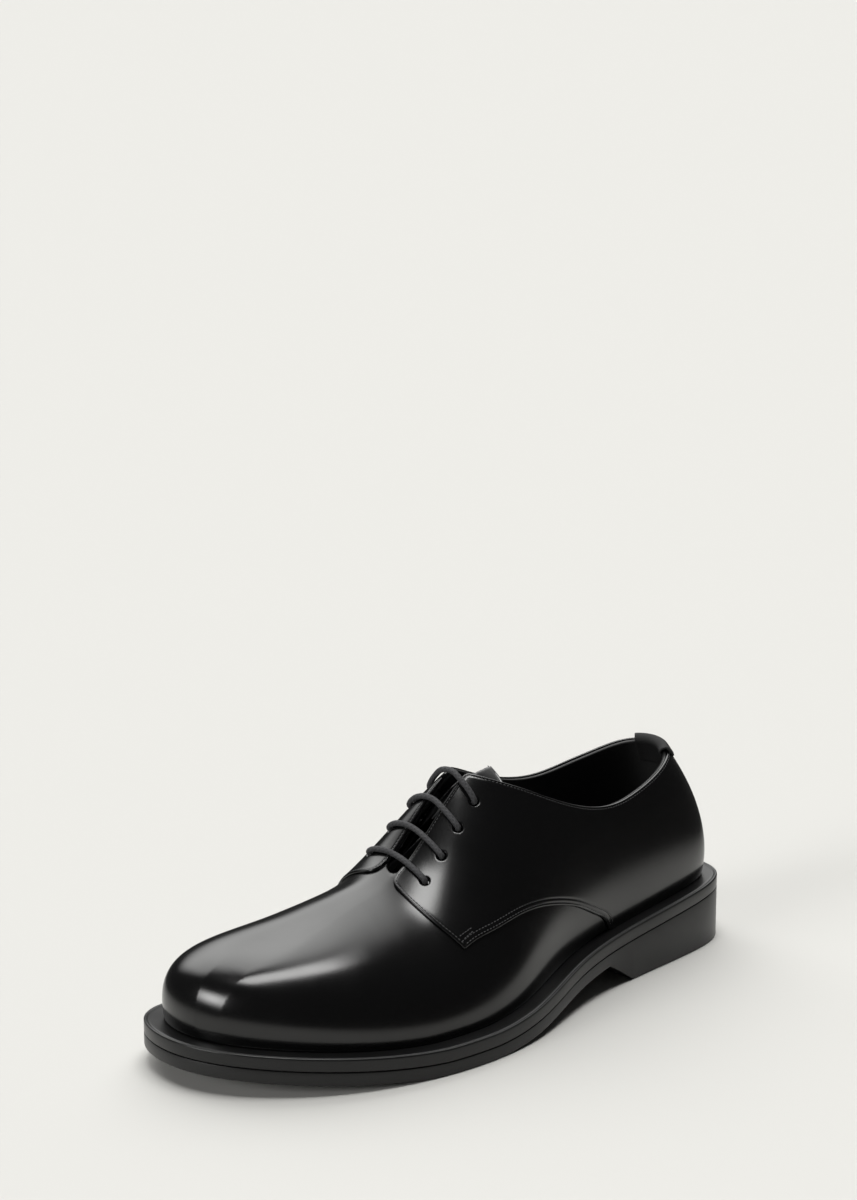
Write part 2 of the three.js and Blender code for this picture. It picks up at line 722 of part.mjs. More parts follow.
function tonguePlan() {
  const axis = axisAt(FACING_TOP_Y);
  const top = FACING_TOP_Y + TONGUE_STAND;
  const half = TONGUE_HALF_WIDTH;
  const corner = half / 2;
  const SQUARENESS = 0.9; // how far out the top edge stays level, as a share of the half width
  const shape = new THREE.Shape();
  shape.moveTo(axis - half, TONGUE_ROOT_Y + corner);
  shape.quadraticCurveTo(axis - half, TONGUE_ROOT_Y, axis - half + corner, TONGUE_ROOT_Y);
  shape.lineTo(axis + half - corner, TONGUE_ROOT_Y);
  shape.quadraticCurveTo(axis + half, TONGUE_ROOT_Y, axis + half, TONGUE_ROOT_Y + corner);
  shape.lineTo(axis + half, top - corner);
  shape.quadraticCurveTo(axis + half * SQUARENESS, top, axis, top);
  shape.quadraticCurveTo(axis - half * SQUARENESS, top, axis - half, top - corner);
  const CURVE_STEPS = 5;
  return shape.getPoints(CURVE_STEPS);
}

// Midsole, whose rim shows all round as the ledge.
function makeMidsole() {
  const top = seatHeight;
  const under = (y) => seatHeight(y) - MIDSOLE_THICKNESS;
  return soleSolid([
    { inset: EDGE_CHAMFER, height: top },
    { inset: 0, height: (y) => top(y) - EDGE_CHAMFER },
    { inset: 0, height: under },
  ]);
}

// Outsole and heel in one: a block with the sole's outline, cut away below the waist and the toe.
function makeOutsole() {
  const top = (y) => treadHeight(y) + OUTSOLE_THICKNESS;
  const block = soleSolid([
    { inset: 0, height: top },
    { inset: 0, height: () => EDGE_CHAMFER },
    { inset: EDGE_CHAMFER, height: () => 0 },
  ]);
  return block.subtract(sidePrism(waistOutline())).subtract(sidePrism(springOutline()));
}

// Side view of the space under the waist, from the heel's breast to the tread.
function waistOutline() {
  const WAIST_STEPS = 16;
  const breastFoot = HEEL_Y - HEEL_LENGTH;
  const breastTop = breastFoot - BREAST_RAKE;
  const tread = yAt(FLAT_BACK);
  const points = [new THREE.Vector2(tread, -SOLE_EDGE)];
  for (let i = 0; i <= WAIST_STEPS; i++) {
    const y = tread + ((breastTop - tread) * i) / WAIST_STEPS;
    points.push(new THREE.Vector2(y, treadHeight(y)));
  }
  points.push(new THREE.Vector2(breastFoot, 0));
  points.push(new THREE.Vector2(breastFoot, -SOLE_EDGE));
  return points;
}

// Side view of the space under the lifted toe.
function springOutline() {
  const SPRING_STEPS = 10;
  const tread = yAt(FLAT_FRONT);
  const tip = yAt(1) - LEDGE;
  const points = [new THREE.Vector2(tip, -SOLE_EDGE)];
  for (let i = 0; i <= SPRING_STEPS; i++) {
    const y = tip + ((tread - tip) * i) / SPRING_STEPS;
    points.push(new THREE.Vector2(y, treadHeight(y)));
  }
  points.push(new THREE.Vector2(tread, -SOLE_EDGE));
  return points;
}

// Insole, which fills the floor of the upper from wall to wall.
function makeInsole() {
  const inside = lastSolid(-WALL - GAP, GAP);
  const layer = soleSolid([
    { inset: 0, height: (y) => seatHeight(y) + GAP + INSOLE_THICKNESS },
    { inset: 0, height: (y) => seatHeight(y) + GAP },
  ]);
  return inside.intersect(layer);
}

// Tab folded over the topline at the back.
function makeTab() {
  const outsideFace = QUARTER_STEP + GAP;
  const insideFace = -WALL - GAP;
  const fold = aboveCollar(GAP + TAB_THICKNESS);
  const strip = planPrism(tabPlan());
  const body = lastSolid(outsideFace + TAB_THICKNESS)
    .subtract(lastSolid(insideFace - TAB_THICKNESS))
    .subtract(fold)
    .intersect(strip);
  const filling = lastSolid(outsideFace).subtract(lastSolid(insideFace));
  const outerFlap = body.intersect(aboveCollar(-TAB_OUTSIDE));
  const innerFlap = body.intersect(aboveCollar(-TAB_INSIDE)).intersect(lastSolid(insideFace));
  return outerFlap.add(innerFlap).subtract(filling.subtract(aboveCollar(GAP)));
}

function tabPlan() {
  const axis = axisAt(HEEL_Y);
  const half = TAB_WIDTH / 2;
  const front = HEEL_Y - 2 * TAB_WIDTH;
  return [
    new THREE.Vector2(axis - half, front),
    new THREE.Vector2(axis + half, front),
    new THREE.Vector2(axis + half, HEEL_Y + LEDGE),
    new THREE.Vector2(axis - half, HEEL_Y + LEDGE),
  ];
}

// Places of the lace across one row: up through an eyelet, over both facings, and down again.
function laceBar([start, end], loose) {
  const over = QUARTER_STEP + GAP + LACE_DIAMETER / 2;
  const at = ({ point, normal }, height) => point.clone().addScaledVector(normal, height);
  const from = start.point;
  const to = end.point;
  const lay = (share, height) => {
    const plan = from.clone().lerp(to, share);
    return at(lastOver(plan.x, plan.y, 0), height);
  };
  const BEND_HEIGHT = 0.7; // share of the height over the facing at which the lace starts to bend
  const LAY_SHARES = [0.09, 0.22, 0.36, 0.64, 0.78, 0.91];
  const laid = LAY_SHARES.map((share) => lay(share, over + loose * 4 * share * (1 - share)));
  return [
    at(start, 0),
    at(start, over * BEND_HEIGHT),
    ...laid,
    at(end, over * BEND_HEIGHT),
    at(end, 0),
  ];
}

// Lace: one cord that crosses from eyelet to eyelet and runs between the rows inside the facings.
function makeLace() {
  const radius = LACE_DIAMETER / 2;
  const under = -WALL - GAP - radius;
  const inside = ({ point, normal }) => point.clone().addScaledVector(normal, under);
  const points = [];
  let last = null;
  for (let i = EYELET_COUNT - 1; i >= 0; i--) {
    const { outer, inner } = eyelets[i];
    const row = i % 2 === 0 ? [inner, outer] : [outer, inner];
    if (last !== null) {
      const between = last.point.clone().lerp(row[0].point, 1 / 2);
      points.push(inside(lastOver(between.x, between.y, 0)));
    }
    points.push(inside(row[0]));
    points.push(...laceBar(row, i === EYELET_COUNT - 1 ? LOOSE_LIFT : 0));
    points.push(inside(row[1]));
    last = row[1];
  }
  const path = new THREE.CatmullRomCurve3(points, false, "centripetal");
  const LACE_SIDES = 8;
  const shape = new THREE.Shape();
  for (let i = 0; i < LACE_SIDES; i++) {
    const angle = (2 * Math.PI * i) / LACE_SIDES;
    const place = new THREE.Vector2(Math.cos(angle), Math.sin(angle)).multiplyScalar(radius);
    if (i === 0) shape.moveTo(place.x, place.y);
    else shape.lineTo(place.x, place.y);
  }
  const steps = Math.round(path.getLength() / LACE_DIAMETER);
  const geometry = new THREE.ExtrudeGeometry(shape, { steps, extrudePath: path });
  return geometrySolid(geometry);
}

// Colours and finishes
const finish = {
  leather: { color: 0x0b0b0c, roughness: 0.22, metalness: 0 },
  edge: { color: 0x171718, roughness: 0.45, metalness: 0 },
  lining: { color: 0x101011, roughness: 0.7, metalness: 0 },
  cord: { color: 0x1d1d1f, roughness: 0.75, metalness: 0 },
  tape: { color: 0x131313, roughness: 0.9, metalness: 0 },
};

const shoe = new THREE.Group();

function addPiece(name, solid, look) {
  const { vertProperties, triVerts } = solid.getMesh();
  const geometry = new THREE.BufferGeometry();
  geometry.setAttribute("position", new THREE.BufferAttribute(vertProperties, 3));
  geometry.setIndex(new THREE.BufferAttribute(triVerts, 1));
  const mesh = new THREE.Mesh(geometry, new THREE.MeshStandardMaterial(look));
  mesh.name = name;
  shoe.add(mesh);
}

addPiece("outsole_heel", makeOutsole(), finish.edge);
addPiece("midsole_welt", makeMidsole(), finish.edge);
addPiece("insole", makeInsole(), finish.lining);
addPiece("upper", makeUpper(), finish.leather);
addPiece("tongue", makeTongue(), finish.leather);
addPiece("lace", makeLace(), finish.cord);
addPiece("back_tab", makeTab(), finish.tape);

export default shoe;
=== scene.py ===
# Looks of the black derby shoe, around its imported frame.
# Sizes are in millimetres, as a maker measures them, until a mesh is made in metres.

import math

import bpy
import numpy as np
from mathutils import Matrix, Vector
from mathutils.geometry import delaunay_2d_cdt
from mathutils.kdtree import KDTree


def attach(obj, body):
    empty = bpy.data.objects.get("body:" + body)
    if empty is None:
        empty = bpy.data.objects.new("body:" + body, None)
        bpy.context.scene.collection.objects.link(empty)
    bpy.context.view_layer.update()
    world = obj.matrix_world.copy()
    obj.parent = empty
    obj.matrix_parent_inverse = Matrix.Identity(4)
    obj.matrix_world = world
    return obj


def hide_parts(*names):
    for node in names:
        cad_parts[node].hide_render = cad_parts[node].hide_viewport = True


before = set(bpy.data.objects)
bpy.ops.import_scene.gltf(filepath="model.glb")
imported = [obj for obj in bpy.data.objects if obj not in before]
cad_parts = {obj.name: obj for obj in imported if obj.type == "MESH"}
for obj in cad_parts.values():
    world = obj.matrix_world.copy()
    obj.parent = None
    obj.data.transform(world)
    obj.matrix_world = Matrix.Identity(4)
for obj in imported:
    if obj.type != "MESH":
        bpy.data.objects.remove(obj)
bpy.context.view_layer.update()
bpy.ops.object.select_all(action="DESELECT")

MM = 0.001

# Sole
SHOE_LENGTH = 303.0
SHOE_WIDTH = 114.6
SEAT_LIFT = 18.9
TOE_SPRING = 8.4
OUTSOLE_THICKNESS = 5.8
MIDSOLE_THICKNESS = 5.6
HEEL_LENGTH = 78.0
BREAST_RAKE = 18.0
GAP = 0.3
SOLE_EDGE = OUTSOLE_THICKNESS + GAP + MIDSOLE_THICKNESS
HEEL_Y = SHOE_LENGTH / 2

# Last and upper
LEDGE = 8.6
CREST_HEIGHT = 90.0
SIDE_BULGE = 6.5
WALL = 1.7
QUARTER_STEP = 1.3
COLLAR_HEIGHT = 63.0
COLLAR_SLANT = 0.085
THROAT_HALF_GAP = 4.4
FACING_LENGTH = 43.7
FACING_CORNER = 7.0
EYELET_COUNT = 4
EYELET_RISE = 10.4
EYELET_PITCH = 10.6
EYELET_MARGIN = 9.25
EYELET_FLARE = 1.2
EYELET_HOLE = 3.8
LACE_DIAMETER = 2.6
LOOSE_LIFT = 2.0
TONGUE_THICKNESS = 1.8
TONGUE_HALF_WIDTH = 25.0
TONGUE_STAND = 21.0
TONGUE_SAG = 5.5
TONGUE_LEVEL = 15.0
TONGUE_ROOT = 6.0
TAB_WIDTH = 21.0
TAB_THICKNESS = 1.2
TAB_OUTSIDE = 4.5
TAB_INSIDE = 13.0
FACING_TOP = 0.505

# Seat in side view: along, lift, spring
SEAT_ROWS = np.array([
    [0.000, 1.000, 0.00], [0.118, 0.865, 0.00], [0.250, 0.695, 0.00],
    [0.390, 0.470, 0.00], [0.520, 0.125, 0.00], [0.610, 0.000, 0.00],
    [0.700, 0.000, 0.00], [0.800, 0.000, 0.27], [0.930, 0.000, 0.76],
    [1.000, 0.000, 1.00],
])
# Crest of the last: along, height, axis
CREST_ROWS = np.array([
    [0.10, 1.000, -0.036], [0.30, 1.010, -0.036], [0.42, 1.085, -0.036],
    [0.52, 0.963, -0.039], [0.62, 0.663, -0.046], [0.70, 0.566, -0.056],
    [0.78, 0.472, -0.070], [0.85, 0.396, -0.083], [0.92, 0.320, -0.090],
])
# Rim of the sole and the rib inside it: along, across, crest, rise, bulge, reach, drop
OUTER_SIDE = [
    [0.000, 0.000, 0.165, 0.27, 1.00, 0.66, 0.13],
    [0.014, 0.179, 0.200, 0.27, 1.00, 0.72, 0.15],
    [0.118, 0.288, 0.245, 0.31, 0.92, 0.82, 0.15],
    [0.255, 0.327, 0.330, 0.33, 0.62, 0.78, 0.15],
    [0.395, 0.401, 0.420, 0.33, 0.46, 0.62, 0.17],
    [0.515, 0.502, 0.520, 0.31, 0.46, 0.50, 0.14],
    [0.655, 0.537, 0.630, 0.29, 0.46, 0.50, 0.09],
    [0.797, 0.462, 0.740, 0.28, 0.54, 0.60, 0.03],
    [0.929, 0.253, 0.820, 0.29, 0.62, 0.66, 0.00],
    [1.000, -0.079, 0.857, 0.30, 0.69, 0.70, 0.00],
]
INNER_SIDE = [
    [0.966, -0.362, 0.810, 0.31, 0.77, 0.74, 0.00],
    [0.830, -0.460, 0.742, 0.29, 0.69, 0.64, 0.02],
    [0.672, -0.436, 0.610, 0.29, 0.54, 0.60, 0.06],
    [0.532, -0.362, 0.490, 0.33, 0.46, 0.60, 0.145],
    [0.390, -0.319, 0.420, 0.33, 0.46, 0.60, 0.18],
    [0.250, -0.319, 0.330, 0.34, 0.62, 0.80, 0.15],
    [0.118, -0.297, 0.240, 0.31, 0.92, 0.84, 0.15],
    [0.013, -0.188, 0.185, 0.27, 1.00, 0.74, 0.15],
]
# Topline over the seat: along, height
COLLAR_ROWS = np.array([
    [0.00, 1.020], [0.06, 1.012], [0.10, 0.995], [0.15, 0.950], [0.20, 0.916],
    [0.25, 0.903], [0.30, 0.942], [0.36, 1.055], [0.43, 1.245], [0.50, 1.440],
    [0.57, 1.570],
])
# Seam of the quarter in side view, from the facing's lower corner to the sole: along, height
SEAM_ROWS = np.array([
    [0.640, 0.340], [0.600, 0.385], [0.560, 0.400], [0.510, 0.405], [0.465, 0.375],
    [0.410, 0.300], [0.360, 0.210], [0.320, 0.120], [0.292, 0.030], [0.280, -0.050],
])
# Hidden edge of the vamp under the quarter, from the throat to the sole: along, height
LAP_ROWS = np.array([
    [0.6105, 0.700], [0.6085, 0.660], [0.603, 0.580], [0.590, 0.515], [0.550, 0.490],
    [0.500, 0.490], [0.450, 0.455], [0.400, 0.375], [0.350, 0.260], [0.300, 0.120],
    [0.262, 0.000],
])


# Cubic spline through rows of values at rising places, with continuous curvature.
def spline(places, values, closed=False):
    places = np.asarray(places, float)
    values = np.asarray(values, float)
    count = len(values)
    step = np.diff(places)
    left = np.eye(count)
    right = np.zeros_like(values)
    for i in range(count):
        if not closed and i in (0, count - 1):
            continue
        before, after = (i - 1) % count, (i + 1) % count
        h0, h1 = step[i - 1], step[i]
        left[i] = 0
        left[i, before] += h0
        left[i, i] += 2 * (h0 + h1)
        left[i, after] += h1
        rise = (values[after] - values[i]) / h1 - (values[i] - values[before]) / h0
        right[i] = 6 * rise
    bend = np.linalg.solve(left, right)

    def curve(at):
        at = np.asarray(at, float)
        if closed:
            at = places[0] + np.mod(at - places[0], places[-1] - places[0])
        i = np.clip(np.searchsorted(places, at, side="right") - 1, 0, len(step) - 1)
        after = (i + 1) % count
        h = step[i]
        a, b = (places[i + 1] - at) / h, (at - places[i]) / h
        if values.ndim > 1:
            a, b, h = a[..., None], b[..., None], h[..., None]
        bow = ((a ** 3 - a) * bend[i] + (b ** 3 - b) * bend[after]) * h ** 2 / 6
        return a * values[i] + b * values[after] + bow

    return curve


# Smooth curve through points, as many places along it as asked, evenly spread.
def through(points, count):
    points = np.asarray(points, float)
    places = run_of(points)
    return spline(places, points)(np.linspace(0, places[-1], count))


# Length of a line of points up to each of them.
def run_of(points):
    return np.concatenate([[0], np.cumsum(np.linalg.norm(np.diff(points, axis=0), axis=1))])


def unit(vectors):
    return vectors / np.maximum(np.linalg.norm(vectors, axis=-1, keepdims=True), 1e-12)


def smoothstep(value):
    value = np.clip(value, 0, 1)
    return value * value * (3 - 2 * value)


SEAT = spline(SEAT_ROWS[:, 0], SEAT_ROWS[:, 1:])
CREST = spline(CREST_ROWS[:, 0], CREST_ROWS[:, 1:])
COLLAR = spline(COLLAR_ROWS[:, 0], COLLAR_ROWS[:, 1])
SEAM = spline(SEAM_ROWS[::-1, 0], SEAM_ROWS[::-1, 1])


def share_at(y):
    return (HEEL_Y - y) / SHOE_LENGTH


def y_at(share):
    return HEEL_Y - share * SHOE_LENGTH


def tread_height(y):
    rows = np.maximum(0, SEAT(share_at(y)))
    return rows[..., 0] * SEAT_LIFT + rows[..., 1] * TOE_SPRING


def seat_height(y):
    return tread_height(y) + SOLE_EDGE


RIM_ROWS = np.array(OUTER_SIDE + INNER_SIDE)
closed_rows = np.vstack([RIM_ROWS, RIM_ROWS[:1]])
rim_runs = np.hypot(np.diff(closed_rows[:, 0]) * SHOE_LENGTH,
                    np.diff(closed_rows[:, 1]) * SHOE_WIDTH)
rim_places = np.concatenate([[0], np.cumsum(rim_runs)]) / rim_runs.sum()
RIM = spline(rim_places, RIM_ROWS, closed=True)
TOE_U = rim_places[len(OUTER_SIDE) - 1]

fine_u = np.linspace(-0.05, 1.0, 42001)
fine_rows = RIM(fine_u)
along_low, along_high = fine_rows[:, 0].min(), fine_rows[:, 0].max()
across_low, across_high = fine_rows[:, 1].min(), fine_rows[:, 1].max()


def near(u, middle):
    return np.abs(u - middle) < 0.04


def lowest(values, middle):
    masked = np.where(near(fine_u, middle), values, np.inf)
    return fine_u[masked.argmin()]


heel_end = lowest(fine_rows[:, 0], 0)
toe_end = lowest(-fine_rows[:, 0], TOE_U)
back_rib = lowest(fine_rows[:, 2], 0)
toe_rib = lowest(-fine_rows[:, 2], TOE_U)


def rim_point(u):
    row = RIM(u)
    middle = (across_low + across_high) / 2
    x = (row[..., 1] - middle) / (across_high - across_low) * SHOE_WIDTH
    y = y_at((row[..., 0] - along_low) / (along_high - along_low))
    return np.stack([x, y], -1)


def rim_outward(u):
    step = 1e-4
    run = unit(rim_point(u + step) - rim_point(u - step))
    return np.stack([-run[..., 1], run[..., 0]], -1)


def axis_at(y):
    return CREST(share_at(y))[..., 1] * SHOE_WIDTH


def crest_point(share):
    y = y_at(share)
    height, axis = np.moveaxis(CREST(share), -1, 0)
    return np.stack([axis * SHOE_WIDTH, y, seat_height(y) + height * CREST_HEIGHT], -1)


# Place of the last, u round the rim from the heel by the outer side, v up the rib to the crest.
def rib(u, v):
    u, v = np.broadcast_arrays(np.asarray(u, float), np.asarray(v, float))
    row = RIM(u)
    outward = rim_outward(u)
    plan = rim_point(u) - LEDGE * outward
    foot = np.concatenate([plan, (seat_height(plan[..., 1]) + GAP / 3)[..., None]], -1)
    side = foot.copy()
    side[..., :2] += outward * row[..., 4:5] * SIDE_BULGE
    side[..., 2] += row[..., 3] * CREST_HEIGHT
    crest = crest_point(row[..., 2])
    shoulder = crest + (foot - crest) * row[..., 5:6]
    shoulder[..., 2] = crest[..., 2] - row[..., 6] * CREST_HEIGHT
    v = v[..., None]
    w = 1 - v
    return w ** 3 * foot + 3 * w * w * v * side + 3 * w * v * v * shoulder + v ** 3 * crest


# Slopes of the last round the rim and up the rib.
def slopes(u, v):
    step_u, step_v = 1e-4, 1e-3
    low, high = np.clip(v - step_v, 0, 1), np.clip(v + step_v, 0, 1)
    up = (rib(u, high) - rib(u, low)) / (high - low)[..., None]
    run = (rib(u + step_u, v) - rib(u - step_u, v)) / (2 * step_u)
    return run, up


def normal(u, v):
    run, up = slopes(np.asarray(u, float), np.minimum(v, 0.985))
    return unit(np.cross(up, run))


def lasted(u, v, offset):
    return rib(u, v) + normal(u, v) * np.asarray(offset, float)[..., None]


# Flat pattern of the last: every rib is laid out straight from the crest. It has a table of
# the crest's plan, the rib's direction and its length at places round the rim.
flat_u = np.linspace(0, 1, 4001)
flat_ribs = rib(flat_u[:, None], np.linspace(0, 1, 25)[None, :])
flat_length = np.linalg.norm(np.diff(flat_ribs, axis=1), axis=2).sum(1)
flat_crest = flat_ribs[:, -1, :2]
flat_way = unit(flat_ribs[:, 0, :2] - flat_crest)


def flat_row(u):
    u = np.mod(u, 1)
    columns = [flat_crest[:, 0], flat_crest[:, 1], flat_way[:, 0], flat_way[:, 1], flat_length]
    row = [np.interp(u, flat_u, column) for column in columns]
    return np.stack(row[:2], -1), unit(np.stack(row[2:4], -1)), row[4]


def flat(places):
    crest, way, length = flat_row(places[..., 0])
    return crest + way * (length * (1 - places[..., 1]))[..., None]


# Whether flat points lie inside a closed line.
def inside(points, line):
    found = np.zeros(len(points), bool)
    x, y = points[:, 0], points[:, 1]
    for (x0, y0), (x1, y1) in zip(line, np.roll(line, -1, 0)):
        if y0 == y1:
            continue
        spans = (y0 > y) != (y1 > y)
        found ^= spans & (x < (x1 - x0) * (y - y0) / (y1 - y0) + x0)
    return found


outer_u = np.linspace(back_rib, toe_rib, 400)
outer_half = np.vstack([
    flat(np.stack([outer_u, np.full(400, -0.6)], -1)),
    flat(np.stack([outer_u[::-1], np.ones(400)], -1)),
])


# Places on the last of points of the flat pattern.
def unflat(points):
    outer = inside(points, outer_half)
    low = np.where(outer, back_rib, toe_rib)
    high = np.where(outer, toe_rib, 1 + back_rib)

    def turn(u):
        crest, way, length = flat_row(u)
        reach = points - crest
        return way[:, 0] * reach[:, 1] - way[:, 1] * reach[:, 0]

    rising = turn(high) > turn(low)
    for _ in range(34):
        middle = (low + high) / 2
        below = (turn(middle) < 0) == rising
        low = np.where(below, middle, low)
        high = np.where(below, high, middle)
    u = (low + high) / 2
    crest, way, length = flat_row(u)
    return np.stack([u, 1 - np.linalg.norm(points - crest, axis=1) / length], -1)


# Places on one side of the last where two misses vanish, from the nearest of a net of places.
def find(side, offset, miss):
    first, end = (0, TOE_U) if side > 0 else (TOE_U, 1)
    net_u, net_v = np.meshgrid(np.linspace(first, end, 90), np.linspace(0.02, 0.99, 34))
    net_u, net_v = net_u.ravel(), net_v.ravel()
    misses = miss(lasted(net_u, net_v, np.full(net_u.shape, offset))[:, None, :])
    best = (misses ** 2).sum(-1).argmin(0)
    u, v = net_u[best], net_v[best]
    step = 1e-4
    off = np.full(u.shape, offset)
    for _ in range(14):
        here = miss(lasted(u, v, off))
        du = (miss(lasted(u + step, v, off)) - here) / step
        dv = (miss(lasted(u, v + step, off)) - here) / step
        det = du[:, 0] * dv[:, 1] - dv[:, 0] * du[:, 1]
        det = np.where(np.abs(det) < 1e-9, 1e-9, det)
        u = u - np.clip((here[:, 0] * dv[:, 1] - dv[:, 0] * here[:, 1]) / det, -0.02, 0.02)
        v = v - np.clip((du[:, 0] * here[:, 1] - here[:, 0] * du[:, 1]) / det, -0.1, 0.1)
        v = np.clip(v, 0, 1)
    return np.stack([u, v], -1)


def find_plan(side, offset, x, y):
    x, y = np.atleast_1d(x).astype(float), np.atleast_1d(y).astype(float)
    return find(side, offset, lambda p: np.stack([p[..., 0] - x, p[..., 1] - y], -1))


def find_side(side, offset, y, z):
    y, z = np.atleast_1d(y).astype(float), np.atleast_1d(z).astype(float)
    return find(side, offset, lambda p: np.stack([p[..., 1] - y, p[..., 2] - z], -1))


SLANT_SHARE, SLANT_REACH = 0.24, 0.19  # where the topline slants, and how far either way


def collar_height(points, drop=0.0):
    x, y = points[..., 0], points[..., 1]
    share = share_at(y)
    slant = np.maximum(0, 1 - ((share - SLANT_SHARE) / SLANT_REACH) ** 2)
    middle = COLLAR(share) * COLLAR_HEIGHT + seat_height(y)
    return middle - (x - axis_at(y)) * COLLAR_SLANT * slant - drop


# Places along a line on the last, evenly spread.
def spread(places, spacing):
    points = rib(places[:, 0], places[:, 1])
    run = run_of(points)
    count = max(2, int(round(run[-1] / spacing)) + 1)
    at = np.linspace(0, run[-1], count)
    return np.stack([np.interp(at, run, places[:, 0]), np.interp(at, run, places[:, 1])], -1)


FACING_TOP_Y = y_at(FACING_TOP)
FACING_LOW_Y = FACING_TOP_Y - FACING_LENGTH
AXIS_X = float(axis_at(FACING_TOP_Y))

# Lower edge of a facing in plan, from its front edge to its outer corner: out, back
FACING_EDGE = np.array([[7.0, 0.0], [14.5, 0.2], [21.0, 1.1], [28.0, 3.0], [33.5, 5.6], [39.5, 9.2]])


SEAM_END = 0.2835  # share of the length where the seam reaches the sole


# Lines of one quarter on the last, for a facing moved in from its edges by an inset.
def quarter_lines(side, offset, inset=0.0, drop=0.0):
    edge = AXIS_X + side * (THROAT_HALF_GAP + inset)
    low_y = FACING_LOW_Y + inset
    along = np.linspace(0, 1, 90)

    low = through(FACING_EDGE, 90)
    low_x, low_line = edge + side * low[:, 0], low_y + low[:, 1]
    low_places = find_plan(side, offset, low_x, low_line)
    low_points = lasted(low_places[:, 0], low_places[:, 1], np.full(90, offset))
    seam_z = seat_height(low_points[:, 1]) + SEAM(share_at(low_points[:, 1])) * CREST_HEIGHT
    above = low_points[:, 2] > seam_z
    low_places = low_places[: int(above.sum())]
    corner = low_points[int(above.sum()) - 1]

    shares = np.linspace(float(share_at(corner[1])), SEAM_END, 160)
    y = y_at(shares)
    seam_places = find_side(side, offset, y, seat_height(y) + SEAM(shares) * CREST_HEIGHT)

    turn = np.array([[edge, low_y + FACING_CORNER], [edge, low_y], [edge + side * 7.0, low_y]])
    t = np.linspace(0, 1, 16)[:, None]
    bend = (1 - t) ** 2 * turn[0] + 2 * t * (1 - t) * turn[1] + t * t * turn[2]
    corner_places = find_plan(side, offset, bend[:, 0], bend[:, 1])

    trial_y = FACING_TOP_Y + np.linspace(-14, 16, 40)
    trial = find_plan(side, offset, np.full(40, edge), trial_y)
    trial_points = lasted(trial[:, 0], trial[:, 1], np.full(40, offset))
    over_top = trial_points[:, 2] - collar_height(trial_points, drop)
    top_y = float(np.interp(0, -over_top, trial_y)) if over_top[0] > 0 else float(
        np.interp(0, over_top, trial_y))
    top = find_plan(side, offset, edge, top_y)
    front_y = top_y + (low_y + FACING_CORNER - top_y) * along
    front_places = find_plan(side, offset, np.full(90, edge), front_y)

    back = back_rib if side > 0 else 1 + back_rib
    u = back + (top[0, 0] - back) * np.linspace(0, 1, 260)
    low_v, high_v = np.full(260, 0.05), np.full(260, 0.995)
    for _ in range(30):
        middle = (low_v + high_v) / 2
        p = lasted(u, middle, np.full(260, offset))
        under = p[:, 2] < collar_height(p, drop)
        low_v = np.where(under, middle, low_v)
        high_v = np.where(under, high_v, middle)
    top_places = np.stack([u, (low_v + high_v) / 2], -1)
    top_places[-1] = top[0]
    foot_u = np.linspace(seam_places[-1, 0], back, 200)
    foot_places = np.stack([foot_u, np.zeros(200)], -1)
    seam_places[-1, 1] = 0
    return {"low": low_places, "seam": seam_places, "corner": corner_places,
            "front": front_places, "top": top_places, "foot": foot_places}


# Rounds the corner between two lines that meet, and returns them with the curve between.
def rounded(first, second, radius):
    a = spread(first, 0.25)
    b = spread(second, 0.25)
    count = int(radius / 0.25)
    t = np.linspace(0, 1, 12)[:, None]
    bend = (1 - t) ** 2 * a[-count] + 2 * t * (1 - t) * a[-1] + t * t * b[count - 1]
    return a[:-count], bend, b[count:]


# Closed outline of places with the kind of edge at each, from lines in order.
def outline(lines, spacing):
    places, kinds = [], []
    for line, kind in lines:
        part = spread(line, spacing)[:-1]
        places.append(part)
        kinds += [kind] * len(part)
    return np.vstack(places), np.array(kinds)


# Step on the last that leads square across an outline, per millimetre.
def across_outline(places):
    points = rib(places[:, 0], places[:, 1])
    tangent = unit(np.roll(points, -1, 0) - np.roll(points, 1, 0))
    way = np.cross(normal(places[:, 0], places[:, 1]), tangent)
    return step_on_last(places, way)


def step_on_last(places, way):
    run, up = slopes(places[:, 0], np.minimum(places[:, 1], 0.985))
    a, b, c = (run * run).sum(1), (run * up).sum(1), (up * up).sum(1)
    d, e = (way * run).sum(1), (way * up).sum(1)
    det = np.maximum(a * c - b * b, 1e-9)
    return np.stack([(d * c - b * e) / det, (a * e - b * d) / det], -1)


RINGS = {
    "foot": [1.2],
    "lap": [1.2],
    "edge": [0.18, 0.42, 0.75, 1.05, 1.3, 1.55, 1.9, 2.5],
    "seam": [0.18, 0.42, 0.75, 1.05, 1.3, 1.55, 1.9, 2.4, 2.8, 3.1, 3.4, 3.7, 4.2],
    "hole": [0.2, 0.45, 0.8, 1.3],
}
STITCH_IN = 1.3
SECOND_STITCH_IN = 3.1
GROOVE_DEPTH, GROOVE_WIDTH = 0.16, 0.36  # that the stitches lie in


def tree_of(points):
    tree = KDTree(len(points))
    for i, point in enumerate(points):
        tree.insert(Vector(point), i)
    tree.balance()
    return tree


